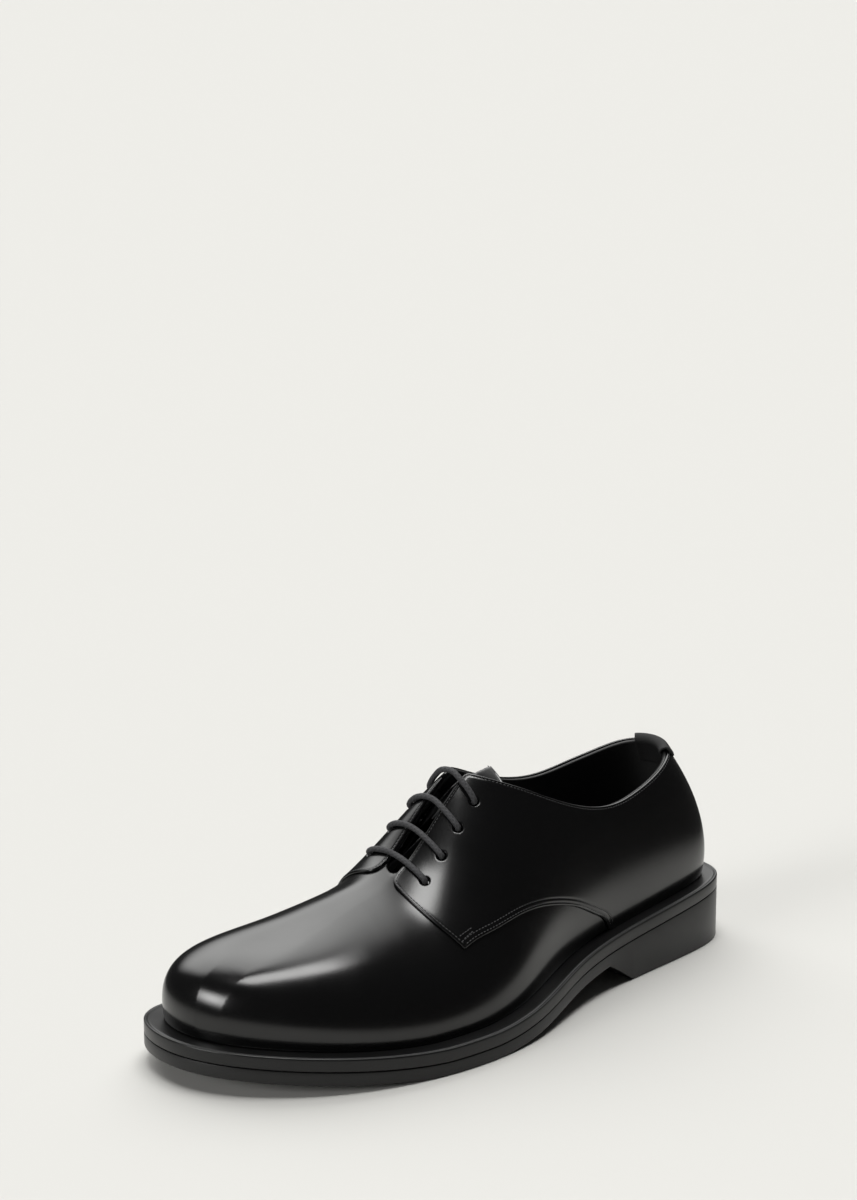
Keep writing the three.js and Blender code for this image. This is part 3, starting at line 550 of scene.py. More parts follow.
# Cuts a piece of leather out of the flat pattern. Its mesh follows the outline in rings.
def cut(lines, holes=(), spacing=1.5, edge_spacing=1.1):
    rim_places, rim_kinds = outline(lines, edge_spacing)
    loops = [(rim_places, rim_kinds)]
    for hole in holes:
        loops.append((hole, np.array(["hole"] * len(hole))))
    all_places, loop_index, ring_places = [], [], []
    count = 0
    for number, (places, kinds) in enumerate(loops):
        plan = flat(places)
        step = across_outline(places)
        probe = flat(places + step)
        right = inside(probe, plan) == (number == 0)
        if right.mean() < 0.5:
            step = -step
        all_places.append(places)
        loop_index.append(list(range(count, count + len(places))))
        count += len(places)
        for kind in set(kinds):
            chosen = kinds == kind
            for distance in RINGS[kind]:
                ring = places[chosen] + distance * step[chosen]
                ring_places.append((ring, distance))
    edge = np.vstack(all_places)

    fence = []
    for places, kinds in loops:
        ends = np.roll(places, -1, 0)
        for t in (0, 0.25, 0.5, 0.75):
            fence.append((places * (1 - t) + ends * t, kinds))
    fence_places = np.vstack([places for places, _ in fence])
    fence_kinds = np.concatenate([kinds for _, kinds in fence])
    fence_points = rib(fence_places[:, 0], fence_places[:, 1])
    tree = tree_of(fence_points)

    def to_edge(points):
        found = [tree.find(Vector(point)) for point in points]
        return np.array([f[2] for f in found]), fence_kinds[[f[1] for f in found]]

    kept = [edge]
    for ring, distance in ring_places:
        ring = ring[ring[:, 1] <= 1.0]
        away, _ = to_edge(rib(ring[:, 0], np.clip(ring[:, 1], 0, 1)))
        kept.append(ring[away > 0.93 * distance])
    rings = np.vstack(kept)

    plan_edge = flat(rim_places)
    low, high = plan_edge.min(0), plan_edge.max(0)
    columns = int((high[0] - low[0]) / spacing) + 2
    rows = int((high[1] - low[1]) / (spacing * 0.866)) + 2
    grid_x, grid_y = np.meshgrid(np.arange(columns), np.arange(rows))
    net = np.stack([low[0] + (grid_x + 0.5 * (grid_y % 2)).ravel() * spacing,
                    low[1] + (grid_y * 0.866).ravel() * spacing], -1)
    net = net[inside(net, plan_edge)]
    net_places = unflat(net)
    ring_points = rib(rings[:, 0], np.clip(rings[:, 1], 0, 1))
    near_tree = tree_of(ring_points)
    net_points = rib(net_places[:, 0], net_places[:, 1])
    clear = np.array([near_tree.find(Vector(point))[2] for point in net_points]) > 0.55 * spacing
    places = np.vstack([rings, net_places[clear]])

    plan = flat(places)
    fences_in = []
    for index in loop_index:
        fences_in += [(index[i], index[(i + 1) % len(index)]) for i in range(len(index))]
    done = delaunay_2d_cdt([Vector(point) for point in plan], fences_in, [], 0, 1e-4, True)
    new_plan = np.array([list(point) for point in done[0]])
    new_places = unflat(new_plan)
    for i, origin in enumerate(done[3]):
        if origin:
            new_places[i] = places[origin[0]]
    faces = np.array([list(face) for face in done[2] if len(face) == 3])
    middles = new_plan[faces].mean(1)
    keep = inside(middles, plan_edge)
    for index in loop_index[1:]:
        keep &= ~inside(middles, plan[index])
    faces = faces[keep]
    used = np.unique(faces)
    renumber = -np.ones(len(new_places), int)
    renumber[used] = np.arange(len(used))
    new_places = new_places[used]
    faces = renumber[faces]
    points = rib(new_places[:, 0], np.clip(new_places[:, 1], 0, 1))
    away, kinds = to_edge(points)
    return {"places": new_places, "faces": faces, "away": away, "kinds": kinds, "points": points}


# How far the outside of a piece lies below its full height, a distance in from its edge.
def edge_drop(piece, roll, radius):
    away, kinds = piece["away"], piece["kinds"]
    rolled = np.isin(kinds, ["edge", "seam", "hole"])
    depth = np.clip(1 - away / radius, 0, 1)
    drop = np.where(rolled, roll * (1 - np.sqrt(np.maximum(0, 1 - depth ** 2))), 0)
    sewn = np.isin(kinds, ["edge", "seam"])
    drop += np.where(sewn, GROOVE_DEPTH * np.exp(-((away - STITCH_IN) / GROOVE_WIDTH) ** 2), 0)
    second = GROOVE_DEPTH * np.exp(-((away - SECOND_STITCH_IN) / GROOVE_WIDTH) ** 2)
    drop += np.where(kinds == "seam", second, 0)
    return drop


def new_mesh(name, points, faces, material, more=()):
    mesh = bpy.data.meshes.new(name)
    mesh.from_pydata([tuple(point) for point in np.asarray(points) * MM], [],
                     [tuple(int(i) for i in face) for face in faces])
    mesh.validate()
    thing = bpy.data.objects.new(name, mesh)
    bpy.context.scene.collection.objects.link(thing)
    for each in (material, *more):
        mesh.materials.append(each)
    mesh.polygons.foreach_set("use_smooth", [True] * len(mesh.polygons))
    mesh.update()
    return thing


def pick(thing):
    bpy.ops.object.select_all(action="DESELECT")
    thing.select_set(True)
    bpy.context.view_layer.objects.active = thing


def point_out(thing):
    pick(thing)
    bpy.ops.object.mode_set(mode="EDIT")
    bpy.ops.mesh.select_all(action="SELECT")
    bpy.ops.mesh.remove_doubles(threshold=2e-6)
    bpy.ops.mesh.normals_make_consistent(inside=False)
    bpy.ops.object.mode_set(mode="OBJECT")


# Leather of a cut piece between two offsets from the last, closed at its edges. let_down gives
# how far each place hangs below the last besides.
def leather(name, piece, top, bottom, material, lining, let_down=0.0):
    u, v = piece["places"][:, 0], piece["places"][:, 1]
    place, way = rib(u, v), normal(u, v)
    place[:, 2] -= let_down
    outside = place + way * top[:, None]
    back = place + way * bottom[:, None]
    faces = piece["faces"]
    a, b, c = (outside[faces[:, k]] for k in range(3))
    middle = np.cross(b - a, c - a)
    flip = (middle * way[faces].sum(1)).sum(1) < 0
    faces = np.where(flip[:, None], faces[:, ::-1], faces)
    count = len(outside)
    pairs = {(int(face[k]), int(face[(k + 1) % 3])): True for face in faces for k in range(3)}
    walls = [(b, a, a + count, b + count) for a, b in pairs if (b, a) not in pairs]
    every = [tuple(face) for face in faces] + [tuple(face[::-1] + count) for face in faces] + walls
    thing = new_mesh(name, np.vstack([outside, back]), every, material, [lining])
    inner = len(faces)
    for i in range(inner, 2 * inner):
        thing.data.polygons[i].material_index = 1
    return thing


# Grid primitive of rows and columns, laid through a net of points.
def wrapped(name, net, material, round_rows=False, round_columns=False):
    net = np.asarray(net, float)
    if round_rows:
        net = np.concatenate([net, net[:1]], 0)
    if round_columns:
        net = np.concatenate([net, net[:, :1]], 1)
    rows, columns = net.shape[:2]
    bpy.ops.object.select_all(action="DESELECT")
    bpy.ops.mesh.primitive_grid_add(x_subdivisions=columns - 1, y_subdivisions=rows - 1, size=1)
    thing = bpy.context.object
    thing.name = name
    thing.data.name = name
    thing.data.vertices.foreach_set("co", (net * MM).reshape(-1))
    thing.data.materials.append(material)
    thing.data.update()
    point_out(thing)
    bpy.ops.object.shade_smooth()
    return thing


def soften(thing, angle):
    pick(thing)
    bpy.ops.object.shade_smooth_by_angle(angle=math.radians(angle))


# Materials

def material(name, base, roughness, **sockets):
    made = bpy.data.materials.new(name)
    made.use_nodes = True
    shader = made.node_tree.nodes["Principled BSDF"]
    shader.inputs["Base Color"].default_value = (*base, 1)
    shader.inputs["Roughness"].default_value = roughness
    for socket, value in sockets.items():
        shader.inputs[socket.replace("_", " ")].default_value = value
    return made, made.node_tree, shader


def node(tree, kind, inputs=(), **settings):
    made = tree.nodes.new(kind)
    for key, value in settings.items():
        setattr(made, key, value)
    for socket, value in dict(inputs).items():
        if isinstance(value, bpy.types.NodeSocket):
            tree.links.new(value, made.inputs[socket])
        else:
            made.inputs[socket].default_value = value
    return made


# Result of one sum or comparison of a node tree.
def maths(tree, operation, *values):
    return node(tree, "ShaderNodeMath", dict(enumerate(values)), operation=operation).outputs[0]


# Roughness that changes softly from place to place, from low to high.
def uneven(tree, shader, coordinates, scale, low, high):
    cloud = node(tree, "ShaderNodeTexNoise", {"Vector": coordinates, "Scale": scale, "Detail": 3.0})
    spread_node = node(tree, "ShaderNodeMapRange", {
        "Value": cloud.outputs["Fac"], "From Min": 0.3, "From Max": 0.7, "To Min": low, "To Max": high})
    tree.links.new(spread_node.outputs["Result"], shader.inputs["Roughness"])


def leather_look(name, base, low, high, grain, depth, specular, coat):
    made, tree, shader = material(name, base, low)
    shader.inputs["Specular IOR Level"].default_value = specular
    shader.inputs["Coat Weight"].default_value = coat
    shader.inputs["Coat Roughness"].default_value = 0.12
    coordinates = node(tree, "ShaderNodeTexCoord").outputs["Object"]
    uneven(tree, shader, coordinates, 60.0, low, high)
    pores = node(tree, "ShaderNodeTexVoronoi", {"Vector": coordinates, "Scale": grain})
    hide = node(tree, "ShaderNodeTexNoise", {"Vector": coordinates, "Scale": grain * 0.25, "Detail": 4.0})
    mixed = maths(tree, "ADD", pores.outputs["Distance"], hide.outputs["Fac"])
    bump = node(tree, "ShaderNodeBump", {
        "Height": mixed, "Strength": 0.35, "Distance": depth})
    tree.links.new(bump.outputs["Normal"], shader.inputs["Normal"])
    return made


polished = leather_look("polished_black_leather", (0.003, 0.003, 0.0032), low=0.17, high=0.22,
                        grain=1600.0, depth=0.00002, specular=0.45, coat=0.15)
lining = leather_look("black_lining", (0.022, 0.022, 0.0222), low=0.42, high=0.55,
                      grain=1200.0, depth=0.00006, specular=0.4, coat=0.0)


def sole_look(name, base, low, high, streak):
    made, tree, shader = material(name, base, low)
    shader.inputs["Specular IOR Level"].default_value = 0.4
    coordinates = node(tree, "ShaderNodeTexCoord").outputs["Object"]
    uneven(tree, shader, coordinates, 45.0, low, high)
    fine = node(tree, "ShaderNodeTexNoise", {"Vector": coordinates, "Scale": 900.0, "Detail": 3.0})
    bump = node(tree, "ShaderNodeBump", {
        "Height": fine.outputs["Fac"], "Strength": streak, "Distance": 0.00006})
    tree.links.new(bump.outputs["Normal"], shader.inputs["Normal"])
    return made


sole_edge = sole_look("sole_edge", (0.007, 0.007, 0.0072), 0.30, 0.40, 0.25)
welt_edge = sole_look("welt_edge", (0.006, 0.006, 0.0062), 0.27, 0.38, 0.3)
thread = sole_look("black_thread", (0.045, 0.045, 0.047), 0.42, 0.55, 0.4)


def woven_look(name, base, across, along, strength):
    made, tree, shader = material(name, base, 0.7)
    shader.inputs["Specular IOR Level"].default_value = 0.35
    plan = node(tree, "ShaderNodeUVMap").outputs["UV"]
    parts = node(tree, "ShaderNodeSeparateXYZ", {"Vector": plan})
    first = maths(tree, "MULTIPLY", parts.outputs["X"], across)
    second = maths(tree, "MULTIPLY", parts.outputs["Y"], along)
    waves = [maths(tree, "SINE", maths(tree, way, first, second)) for way in ("ADD", "SUBTRACT")]
    weave = maths(tree, "MAXIMUM", *waves)
    # Painted shade: the weave's hollows, where its bump is low, are painted darker than its crowns, as if
    # shaded.
    shade = node(tree, "ShaderNodeMapRange", {
        "Value": weave, "From Min": -1.0, "From Max": 1.0, "To Min": 0.55, "To Max": 1.3})
    painted_shade_tint = node(tree, "ShaderNodeMix", {"Factor": shade.outputs[0]}, data_type="RGBA")
    painted_shade_tint.inputs["A"].default_value = (base[0] * 0.5, base[1] * 0.5, base[2] * 0.5, 1)
    painted_shade_tint.inputs["B"].default_value = (*base, 1)
    tree.links.new(painted_shade_tint.outputs["Result"], shader.inputs["Base Color"])
    bump = node(tree, "ShaderNodeBump", {"Height": weave, "Strength": strength, "Distance": 0.0002})
    tree.links.new(bump.outputs["Normal"], shader.inputs["Normal"])
    return made


# Camera at the photograph's angle
IMAGE_WIDTH, IMAGE_HEIGHT = 857, 1200
CAMERA_AZIMUTH, CAMERA_ELEVATION = math.radians(46.7), math.radians(14.1)
CAMERA_DISTANCE = 1330.0
FOCAL_PIXELS = 3045.0
AIM = np.array([-4.4, 0.0, 40.0])
AIM_PIXEL = (457.0, 912.8)

cam_back = np.array([math.sin(CAMERA_AZIMUTH) * math.cos(CAMERA_ELEVATION),
                     -math.cos(CAMERA_AZIMUTH) * math.cos(CAMERA_ELEVATION),
                     math.sin(CAMERA_ELEVATION)])
cam_right = np.array([math.cos(CAMERA_AZIMUTH), math.sin(CAMERA_AZIMUTH), 0])
cam_up = np.cross(cam_back, cam_right)
off_x = (AIM_PIXEL[0] - IMAGE_WIDTH / 2) / FOCAL_PIXELS
off_y = -(AIM_PIXEL[1] - IMAGE_HEIGHT / 2) / FOCAL_PIXELS
eye = AIM - CAMERA_DISTANCE * (off_x * cam_right + off_y * cam_up - cam_back)
camera_data = bpy.data.cameras.new("camera")
camera_data.sensor_fit = "VERTICAL"
camera_data.sensor_height = 36.0
camera_data.sensor_width = 36.0
camera_data.lens = FOCAL_PIXELS * 36.0 / IMAGE_HEIGHT
camera_data.clip_end = 200.0
camera = bpy.data.objects.new("camera", camera_data)
bpy.context.scene.collection.objects.link(camera)
turned = Matrix((cam_right, cam_up, cam_back)).transposed().to_4x4()
camera.matrix_world = Matrix.Translation(Vector(eye * MM)) @ turned
bpy.context.scene.camera = camera

# Outline of the quarters and the vamp

outer = quarter_lines(1, QUARTER_STEP)
inner = quarter_lines(-1, QUARTER_STEP)


def eyelet_places(side):
    found = []
    for i in range(EYELET_COUNT):
        y = FACING_LOW_Y + EYELET_RISE + i * EYELET_PITCH
        out = THROAT_HALF_GAP + EYELET_MARGIN + (EYELET_COUNT - 1 - i) * EYELET_FLARE
        x = float(axis_at(y)) + side * out
        found.append(find_plan(side, QUARTER_STEP, x, y)[0])
    return np.array(found)


eyelets = {1: eyelet_places(1), -1: eyelet_places(-1)}


def circle_on_last(centre, radius, count=26):
    run, _ = slopes(centre[None, 0], centre[None, 1])
    first = unit(run)[0]
    second = np.cross(normal(centre[None, 0], centre[None, 1])[0], first)
    angle = np.linspace(0, 2 * math.pi, count, endpoint=False)[:, None]
    way = first * np.cos(angle) + second * np.sin(angle)
    step = step_on_last(np.repeat(centre[None], count, 0), way)
    return centre + step * radius


def quarter_outline(outer, inner, corner_radius):
    lines = []
    front, top_bend, top = rounded(outer["front"][::-1], outer["top"][::-1], corner_radius)
    lines += [(outer["seam"][::-1], "seam"), (outer["low"][::-1], "edge")]
    lines += [(outer["corner"][::-1], "edge"), (front, "edge"), (top_bend, "edge"), (top, "edge")]
    wrap = np.array([1.0, 0.0])
    inner_top = inner["top"] - wrap
    top2, bend2, front2 = rounded(inner_top, inner["front"] - wrap, corner_radius)
    lines += [(top2, "edge"), (bend2, "edge"), (front2, "edge"), (inner["corner"] - wrap, "edge")]
    lines += [(inner["low"] - wrap, "edge"), (inner["seam"] - wrap, "seam")]
    lines += [(inner["foot"] - wrap, "foot"), (outer["foot"][::-1], "foot")]
    return lines


THROAT_CORNER = 3.2  # radius of a facing's upper corner
QUARTER_BACK = 0.04  # clear of the vamp under it
quarter_rim = quarter_outline(outer, inner, THROAT_CORNER)
holes = [circle_on_last(place, EYELET_HOLE / 2) for place in eyelets[1]]
holes += [circle_on_last(place - [1.0, 0.0], EYELET_HOLE / 2) for place in eyelets[-1]]
quarters_cut = cut(quarter_rim, holes)
quarter_top = QUARTER_STEP - edge_drop(quarters_cut, 0.62, 0.75)
quarter_back = np.full(len(quarter_top), QUARTER_BACK)
quarters = leather("quarters", quarters_cut, quarter_top, quarter_back, polished, lining)


def lap_line(side):
    y = y_at(LAP_ROWS[:, 0])
    points = through(np.stack([y, seat_height(y) + LAP_ROWS[:, 1] * CREST_HEIGHT], -1), 120)
    places = find_side(side, 0.0, points[:, 0], points[:, 1])
    return places


def notch_line(side):
    angle = np.linspace(0, math.pi / 2, 24)
    low = FACING_LOW_Y + FACING_CORNER + THROAT_HALF_GAP
    x = AXIS_X + side * THROAT_HALF_GAP * np.sin(angle)
    y = low - THROAT_HALF_GAP * np.cos(angle)
    x[0] = float(axis_at(y[0])) + side * 0.02
    return find_plan(side, 0.0, x, y)


laps = {side: lap_line(side) for side in (1, -1)}
notches = {side: notch_line(side) for side in (1, -1)}


def joined(*lines):
    return np.vstack(lines)


vamp_foot = np.stack([np.linspace(laps[1][-1, 0], laps[-1][-1, 0], 600), np.zeros(600)], -1)
for side in (1, -1):
    laps[side][-1, 1] = 0
vamp_lines = [
    (vamp_foot, "foot"),
    (laps[-1][::-1], "lap"),
    (joined(laps[-1][:1], notches[-1][::-1]), "lap"),
    (joined(notches[-1][:1], notches[1][:1]), "lap"),
    (joined(notches[1], laps[1][:1]), "lap"),
    (laps[1], "lap"),
]
vamp_cut = cut(vamp_lines, (), spacing=1.6)
zero = np.zeros(len(vamp_cut["places"]))
vamp = leather("vamp", vamp_cut, zero, zero - WALL, polished, lining)


# Rounds off the crease that the ribs leave along the crest.
def ease_crest(thing, reach, turns):
    co = np.zeros(len(thing.data.vertices) * 3)
    thing.data.vertices.foreach_get("co", co)
    co = co.reshape(-1, 3) / MM
    shares = np.linspace(0.3, 0.857, 240)
    line = crest_point(shares)
    away = np.sqrt(((co[:, None, :2] - line[None, :, :2]) ** 2).sum(-1).min(1))
    end = np.linalg.norm(co[:, :2] - line[-1, :2], axis=1)
    weight = smoothstep(1.4 - away / reach) + smoothstep(1.5 - end / (3.0 * reach))
    group = thing.vertex_groups.new(name="crest")
    for i in np.nonzero(weight > 0.01)[0]:
        group.add([int(i)], float(min(1, weight[i])), "REPLACE")
    ease = thing.modifiers.new("ease", "SMOOTH")
    ease.factor = 0.5
    ease.iterations = turns
    ease.vertex_group = "crest"
    pick(thing)
    bpy.ops.object.modifier_apply(modifier="ease")


ease_crest(vamp, 5.0, 30)

# Lining of the quarters
LAP_JOINT = 0.0012
LINING_INSET, LINING_DROP = 0.35, 0.6  # from the facing's front edge and from the topline
LINING_CORNER = 3.0
LINING_HOLE = EYELET_HOLE / 2 + 0.1
lining_outer = quarter_lines(1, 0.0, LINING_INSET, LINING_DROP)
lining_inner = quarter_lines(-1, 0.0, LINING_INSET, LINING_DROP)


def lining_half(lines, side):
    y = y_at(LAP_ROWS[:, 0] - LAP_JOINT)
    points = through(np.stack([y, seat_height(y) + LAP_ROWS[:, 1] * CREST_HEIGHT], -1), 120)
    lap = find_side(side, 0.0, points[:, 0], points[:, 1])
    front = lines["front"]
    heights = rib(front[:, 0], front[:, 1])
    front = front[heights[:, 1] > points[0, 0] + 0.4]
    lap = lap[1:]
    lap[-1, 1] = 0
    back = back_rib if side > 0 else 1 + back_rib
    foot_u = np.linspace(lap[-1, 0], back, 200)
    foot = np.stack([foot_u, np.zeros(200)], -1)
    return {"lap": np.vstack([front[-1:], lap]), "front": front, "top": lines["top"], "foot": foot}


half_o = lining_half(lining_outer, 1)
half_i = lining_half(lining_inner, -1)
wrap = np.array([1.0, 0.0])
front_o, bend_o, top_o = rounded(half_o["front"][::-1], half_o["top"][::-1], LINING_CORNER)
top_i, bend_i, front_i = rounded(half_i["top"] - wrap, half_i["front"] - wrap, LINING_CORNER)
lining_rim = [
    (half_o["lap"][::-1], "lap"), (front_o, "edge"), (bend_o, "edge"), (top_o, "edge"),
    (top_i, "edge"), (bend_i, "edge"), (front_i, "edge"), (half_i["lap"] - wrap, "lap"),
    (half_i["foot"] - wrap, "foot"), (half_o["foot"][::-1], "foot"),
]
holes = [circle_on_last(place, LINING_HOLE) for place in eyelets[1]]
holes += [circle_on_last(place - wrap, LINING_HOLE) for place in eyelets[-1]]
lining_cut = cut(lining_rim, holes, spacing=2.0, edge_spacing=1.4)
lining_top = -0.02 - edge_drop(lining_cut, 0.5, 0.6)
flat_zero = np.zeros(len(lining_top))
quarter_lining = leather("quarter_lining", lining_cut, lining_top, flat_zero - WALL, lining, lining)

# Tongue
TONGUE_ROOT_Y = FACING_LOW_Y - TONGUE_ROOT
TONGUE_FREE_Y = FACING_LOW_Y + FACING_CORNER
TONGUE_DEPTH = WALL + GAP
LACE_ROOM = LACE_DIAMETER + 2 * GAP


def tongue_offset(y):
    ramp = (y - TONGUE_ROOT_Y - GAP) / (TONGUE_FREE_Y - TONGUE_ROOT_Y)
    return -TONGUE_DEPTH - LACE_ROOM * smoothstep(ramp)


# The free end sinks and flattens, as in an empty shoe. Its sides rise by the lace's room at most.
def tongue_sag(points):
    x, y = points[..., 0], points[..., 1]
    free = smoothstep((y - FACING_TOP_Y) / TONGUE_STAND)
    sag = free * TONGUE_SAG * (1 - ((x - axis_at(y)) / TONGUE_LEVEL) ** 2)
    return np.maximum(-LACE_ROOM, sag)


def tongue_side(side):
    top = FACING_TOP_Y + TONGUE_STAND
    half = TONGUE_HALF_WIDTH
    t = np.linspace(0, 1, 30)[:, None]

    def bend(a, b, c):
        a, b, c = np.array(a), np.array(b), np.array(c)
        return (1 - t) ** 2 * a + 2 * t * (1 - t) * b + t * t * c

    top_line = bend([0.3, top], [half * 0.78, top + 0.5], [half, top - half * 0.5])
    side_line = bend([half, top - half * 0.5], [half, 0.5 * (top + TONGUE_ROOT_Y)],
                     [half * 0.86, TONGUE_ROOT_Y + half * 0.4])
    root_line = bend([half * 0.86, TONGUE_ROOT_Y + half * 0.4], [half * 0.7, TONGUE_ROOT_Y],
                     [0.3, TONGUE_ROOT_Y])
    found = []
    for line in (top_line, side_line, root_line):
        found.append(find_plan(side, -4.0, AXIS_X + side * line[:, 0], line[:, 1]))
    return found


tongue_o, tongue_i = tongue_side(1), tongue_side(-1)
tongue_rim = [
    (joined(tongue_i[0][:1], tongue_o[0]), "edge"), (tongue_o[1], "lap"), (tongue_o[2], "lap"),
    (joined(tongue_o[2][-1:], tongue_i[2][::-1]), "lap"), (tongue_i[1][::-1], "lap"),
    (tongue_i[0][::-1], "edge"),
]
tongue_cut = cut(tongue_rim, (), spacing=1.5)
tongue_y = tongue_cut["points"][:, 1]
TONGUE_CREASES = [(-27.0, 0.5, 2.2), (-19.0, 0.35, 2.6)]  # place along the shoe, depth, half width
tongue_top = tongue_offset(tongue_y) - edge_drop(tongue_cut, 0.6, 0.8)
for middle, deep, wide in TONGUE_CREASES:
    tongue_top -= deep * np.exp(-((tongue_y - middle) / wide) ** 2)
tongue_bottom = tongue_offset(tongue_y) - TONGUE_THICKNESS
tongue = leather("tongue_leather", tongue_cut, tongue_top, tongue_bottom, polished, lining,
                 tongue_sag(tongue_cut["points"]))
ease_crest(tongue, 4.0, 8)


# Sole
def side_u(shares):
    u = np.linspace(heel_end, toe_end, 6001)
    outer_side = np.interp(shares, (RIM(u)[:, 0] - along_low) / (along_high - along_low), u)
    u = np.linspace(toe_end, 1 + heel_end, 6001)[::-1]
    inner_side = np.interp(shares, (RIM(u)[:, 0] - along_low) / (along_high - along_low), u)
    return outer_side, inner_side


# Layer of the sole with the outline of the rim. A row of its profile gives how far it lies in
# from the rim and its height at a place along the shoe.
def sole_layer(name, profile, shares, look):
    outer_side, inner_side = side_u(shares)
    halves = []
    for u in (outer_side, inner_side):
        rows = []
        for inset, height in profile:
            plan = rim_point(u) - rim_outward(u) * inset
            rows.append(np.concatenate([plan, height(plan[:, 1])[:, None]], 1))
        halves.append(np.stack(rows, 1))
    net = np.concatenate([halves[0], halves[1][:, ::-1]], 1)
    return wrapped(name, net, look, round_columns=True)


STATIONS = 190
even = (1 - np.cos(np.pi * np.linspace(0, 1, STATIONS))) / 2
breast_foot = HEEL_Y - HEEL_LENGTH
breast_top = breast_foot - BREAST_RAKE
marks = share_at(np.array([breast_foot, breast_top]))
shares = np.sort(np.concatenate([even, marks]))


def midsole_bottom(y):
    return seat_height(y) - MIDSOLE_THICKNESS


def raised(height, lift):
    return lambda y: height(y) + lift


midsole_profile = [
    (LEDGE + 3.0, seat_height), (LEDGE - 0.5, seat_height), (3.2, seat_height), (2.0, seat_height),
    (1.75, raised(seat_height, -0.05)), (1.5, raised(seat_height, -0.22)),
    (1.25, raised(seat_height, -0.05)), (1.0, raised(seat_height, 0.05)),
    (0.65, raised(seat_height, 0.08)), (0.3, raised(seat_height, -0.06)),
    (0.08, raised(seat_height, -0.34)), (0.0, raised(seat_height, -0.8)),
    (0.0, raised(midsole_bottom, 0.5)), (0.1, raised(midsole_bottom, 0.16)),
    (0.4, midsole_bottom), (2.0, midsole_bottom),
]
midsole = sole_layer("midsole", midsole_profile, shares, welt_edge)
soften(midsole, 45)


def outsole_top(y):
    return tread_height(y) + OUTSOLE_THICKNESS


def outsole_bottom(y):
    share = np.clip((y - breast_top) / (breast_foot - breast_top), 0, 1)
    waist = tread_height(y) * (1 - share)
    return np.where(y > breast_foot, 0.0, waist)


outsole_profile = [
    (2.0, outsole_top), (0.4, outsole_top), (0.1, raised(outsole_top, -0.16)),
    (0.0, raised(outsole_top, -0.5)), (0.0, raised(outsole_bottom, 0.9)),
    (0.12, raised(outsole_bottom, 0.35)), (0.4, raised(outsole_bottom, 0.08)),
    (0.9, outsole_bottom), (4.0, outsole_bottom),
]
outsole = sole_layer("outsole_and_heel", outsole_profile, shares, sole_edge)
soften(outsole, 25)


# Lace
def over(x, y):
    x, y = np.atleast_1d(x), np.atleast_1d(y)
    found = np.zeros((len(x), 2))
    outer_ones = x > axis_at(y)
    for way, chosen in ((1, outer_ones), (-1, ~outer_ones)):
        if chosen.any():
            found[chosen] = find_plan(way, 0.0, x[chosen], y[chosen])
    return found


def at_height(places, heights):
    return lasted(places[:, 0], places[:, 1], heights)


OVER = QUARTER_STEP + GAP / 3 + LACE_DIAMETER / 2
UNDER = -WALL - GAP - LACE_DIAMETER / 2
LAY_SHARES = np.array([0.09, 0.22, 0.36, 0.5, 0.64, 0.78, 0.91])
THROAT_DIP = np.array([0.0, 0.0, 0.1, 0.7, 0.1, 0.0, 0.0])
BEND_HEIGHT = 0.7


def lace_bar(first, second, loose):
    a = rib(first[:1], first[1:])[0]
    b = rib(second[:1], second[1:])[0]
    plan = a + (b - a) * LAY_SHARES[:, None]
    arch = loose * 6 * LAY_SHARES * (1 - LAY_SHARES) ** 2
    laid = at_height(over(plan[:, 0], plan[:, 1]), OVER - THROAT_DIP + arch)
    ends = np.array([first, first, second, second])
    heights = np.array([0, OVER * BEND_HEIGHT, OVER * BEND_HEIGHT, 0])
    bent = at_height(ends, heights)
    return np.vstack([bent[:2], laid, bent[2:]])


def lace_path():
    points = []
    last = None
    for i in range(EYELET_COUNT - 1, -1, -1):
        pair = (eyelets[-1][i], eyelets[1][i]) if i % 2 == 0 else (eyelets[1][i], eyelets[-1][i])
        ends = at_height(np.array(pair), np.array([UNDER, UNDER]))
        if last is not None:
            between = (rib(last[:1], last[1:])[0] + rib(pair[0][:1], pair[0][1:])[0]) / 2
            points.append(at_height(over(between[0], between[1]), np.array([UNDER]))[0])
        points.append(ends[0])
        points += list(lace_bar(*pair, LOOSE_LIFT if i == EYELET_COUNT - 1 else 0.0))
        points.append(ends[1])
        last = pair[1]
    points = np.array(points)
    runs = np.sqrt(np.linalg.norm(np.diff(points, axis=0), axis=1))
    places = np.concatenate([[0], np.cumsum(runs)])
    curve = spline(places, points)
    dense = curve(np.linspace(0, places[-1], 6000))
    run = run_of(dense)
    at = np.linspace(0, run[-1], int(run[-1] / 0.55))
    return np.stack([np.interp(at, run, dense[:, k]) for k in range(3)], -1), run[-1]


def tube(name, path, radius, sides, look):
    tangent = unit(np.gradient(path, axis=0))
    frames = []
    side = unit(np.cross(tangent[0], [0, 0, 1.0]))
    for t in tangent:
        side = unit(side - t * side.dot(t))
        frames.append((side, np.cross(t, side)))
    angle = np.linspace(0, 2 * math.pi, sides + 1)
    net = np.array([[p + radius * (math.cos(a) * f[0] + math.sin(a) * f[1]) for a in angle]
                    for p, f in zip(path, frames)])
    start, end = (point[None].repeat(sides + 1, 1) for point in (path[:1], path[-1:]))
    return wrapped(name, np.concatenate([start, net, end], 0), look)


lace_points, lace_length = lace_path()
LACE_PLAITS = 4  # round the cord
LACE_PLAIT_LENGTH = 2.4
lace_cord = woven_look("waxed_lace", (0.045, 0.045, 0.048), across=2 * math.pi * LACE_PLAITS,
                       along=2 * math.pi * lace_length / LACE_PLAIT_LENGTH, strength=0.6)
lace_piece = tube("lace_cord", lace_points, LACE_DIAMETER / 2, 16, lace_cord)

TAB_FOLD = 0.55  # height of the fold over the topline, as a share of half its width


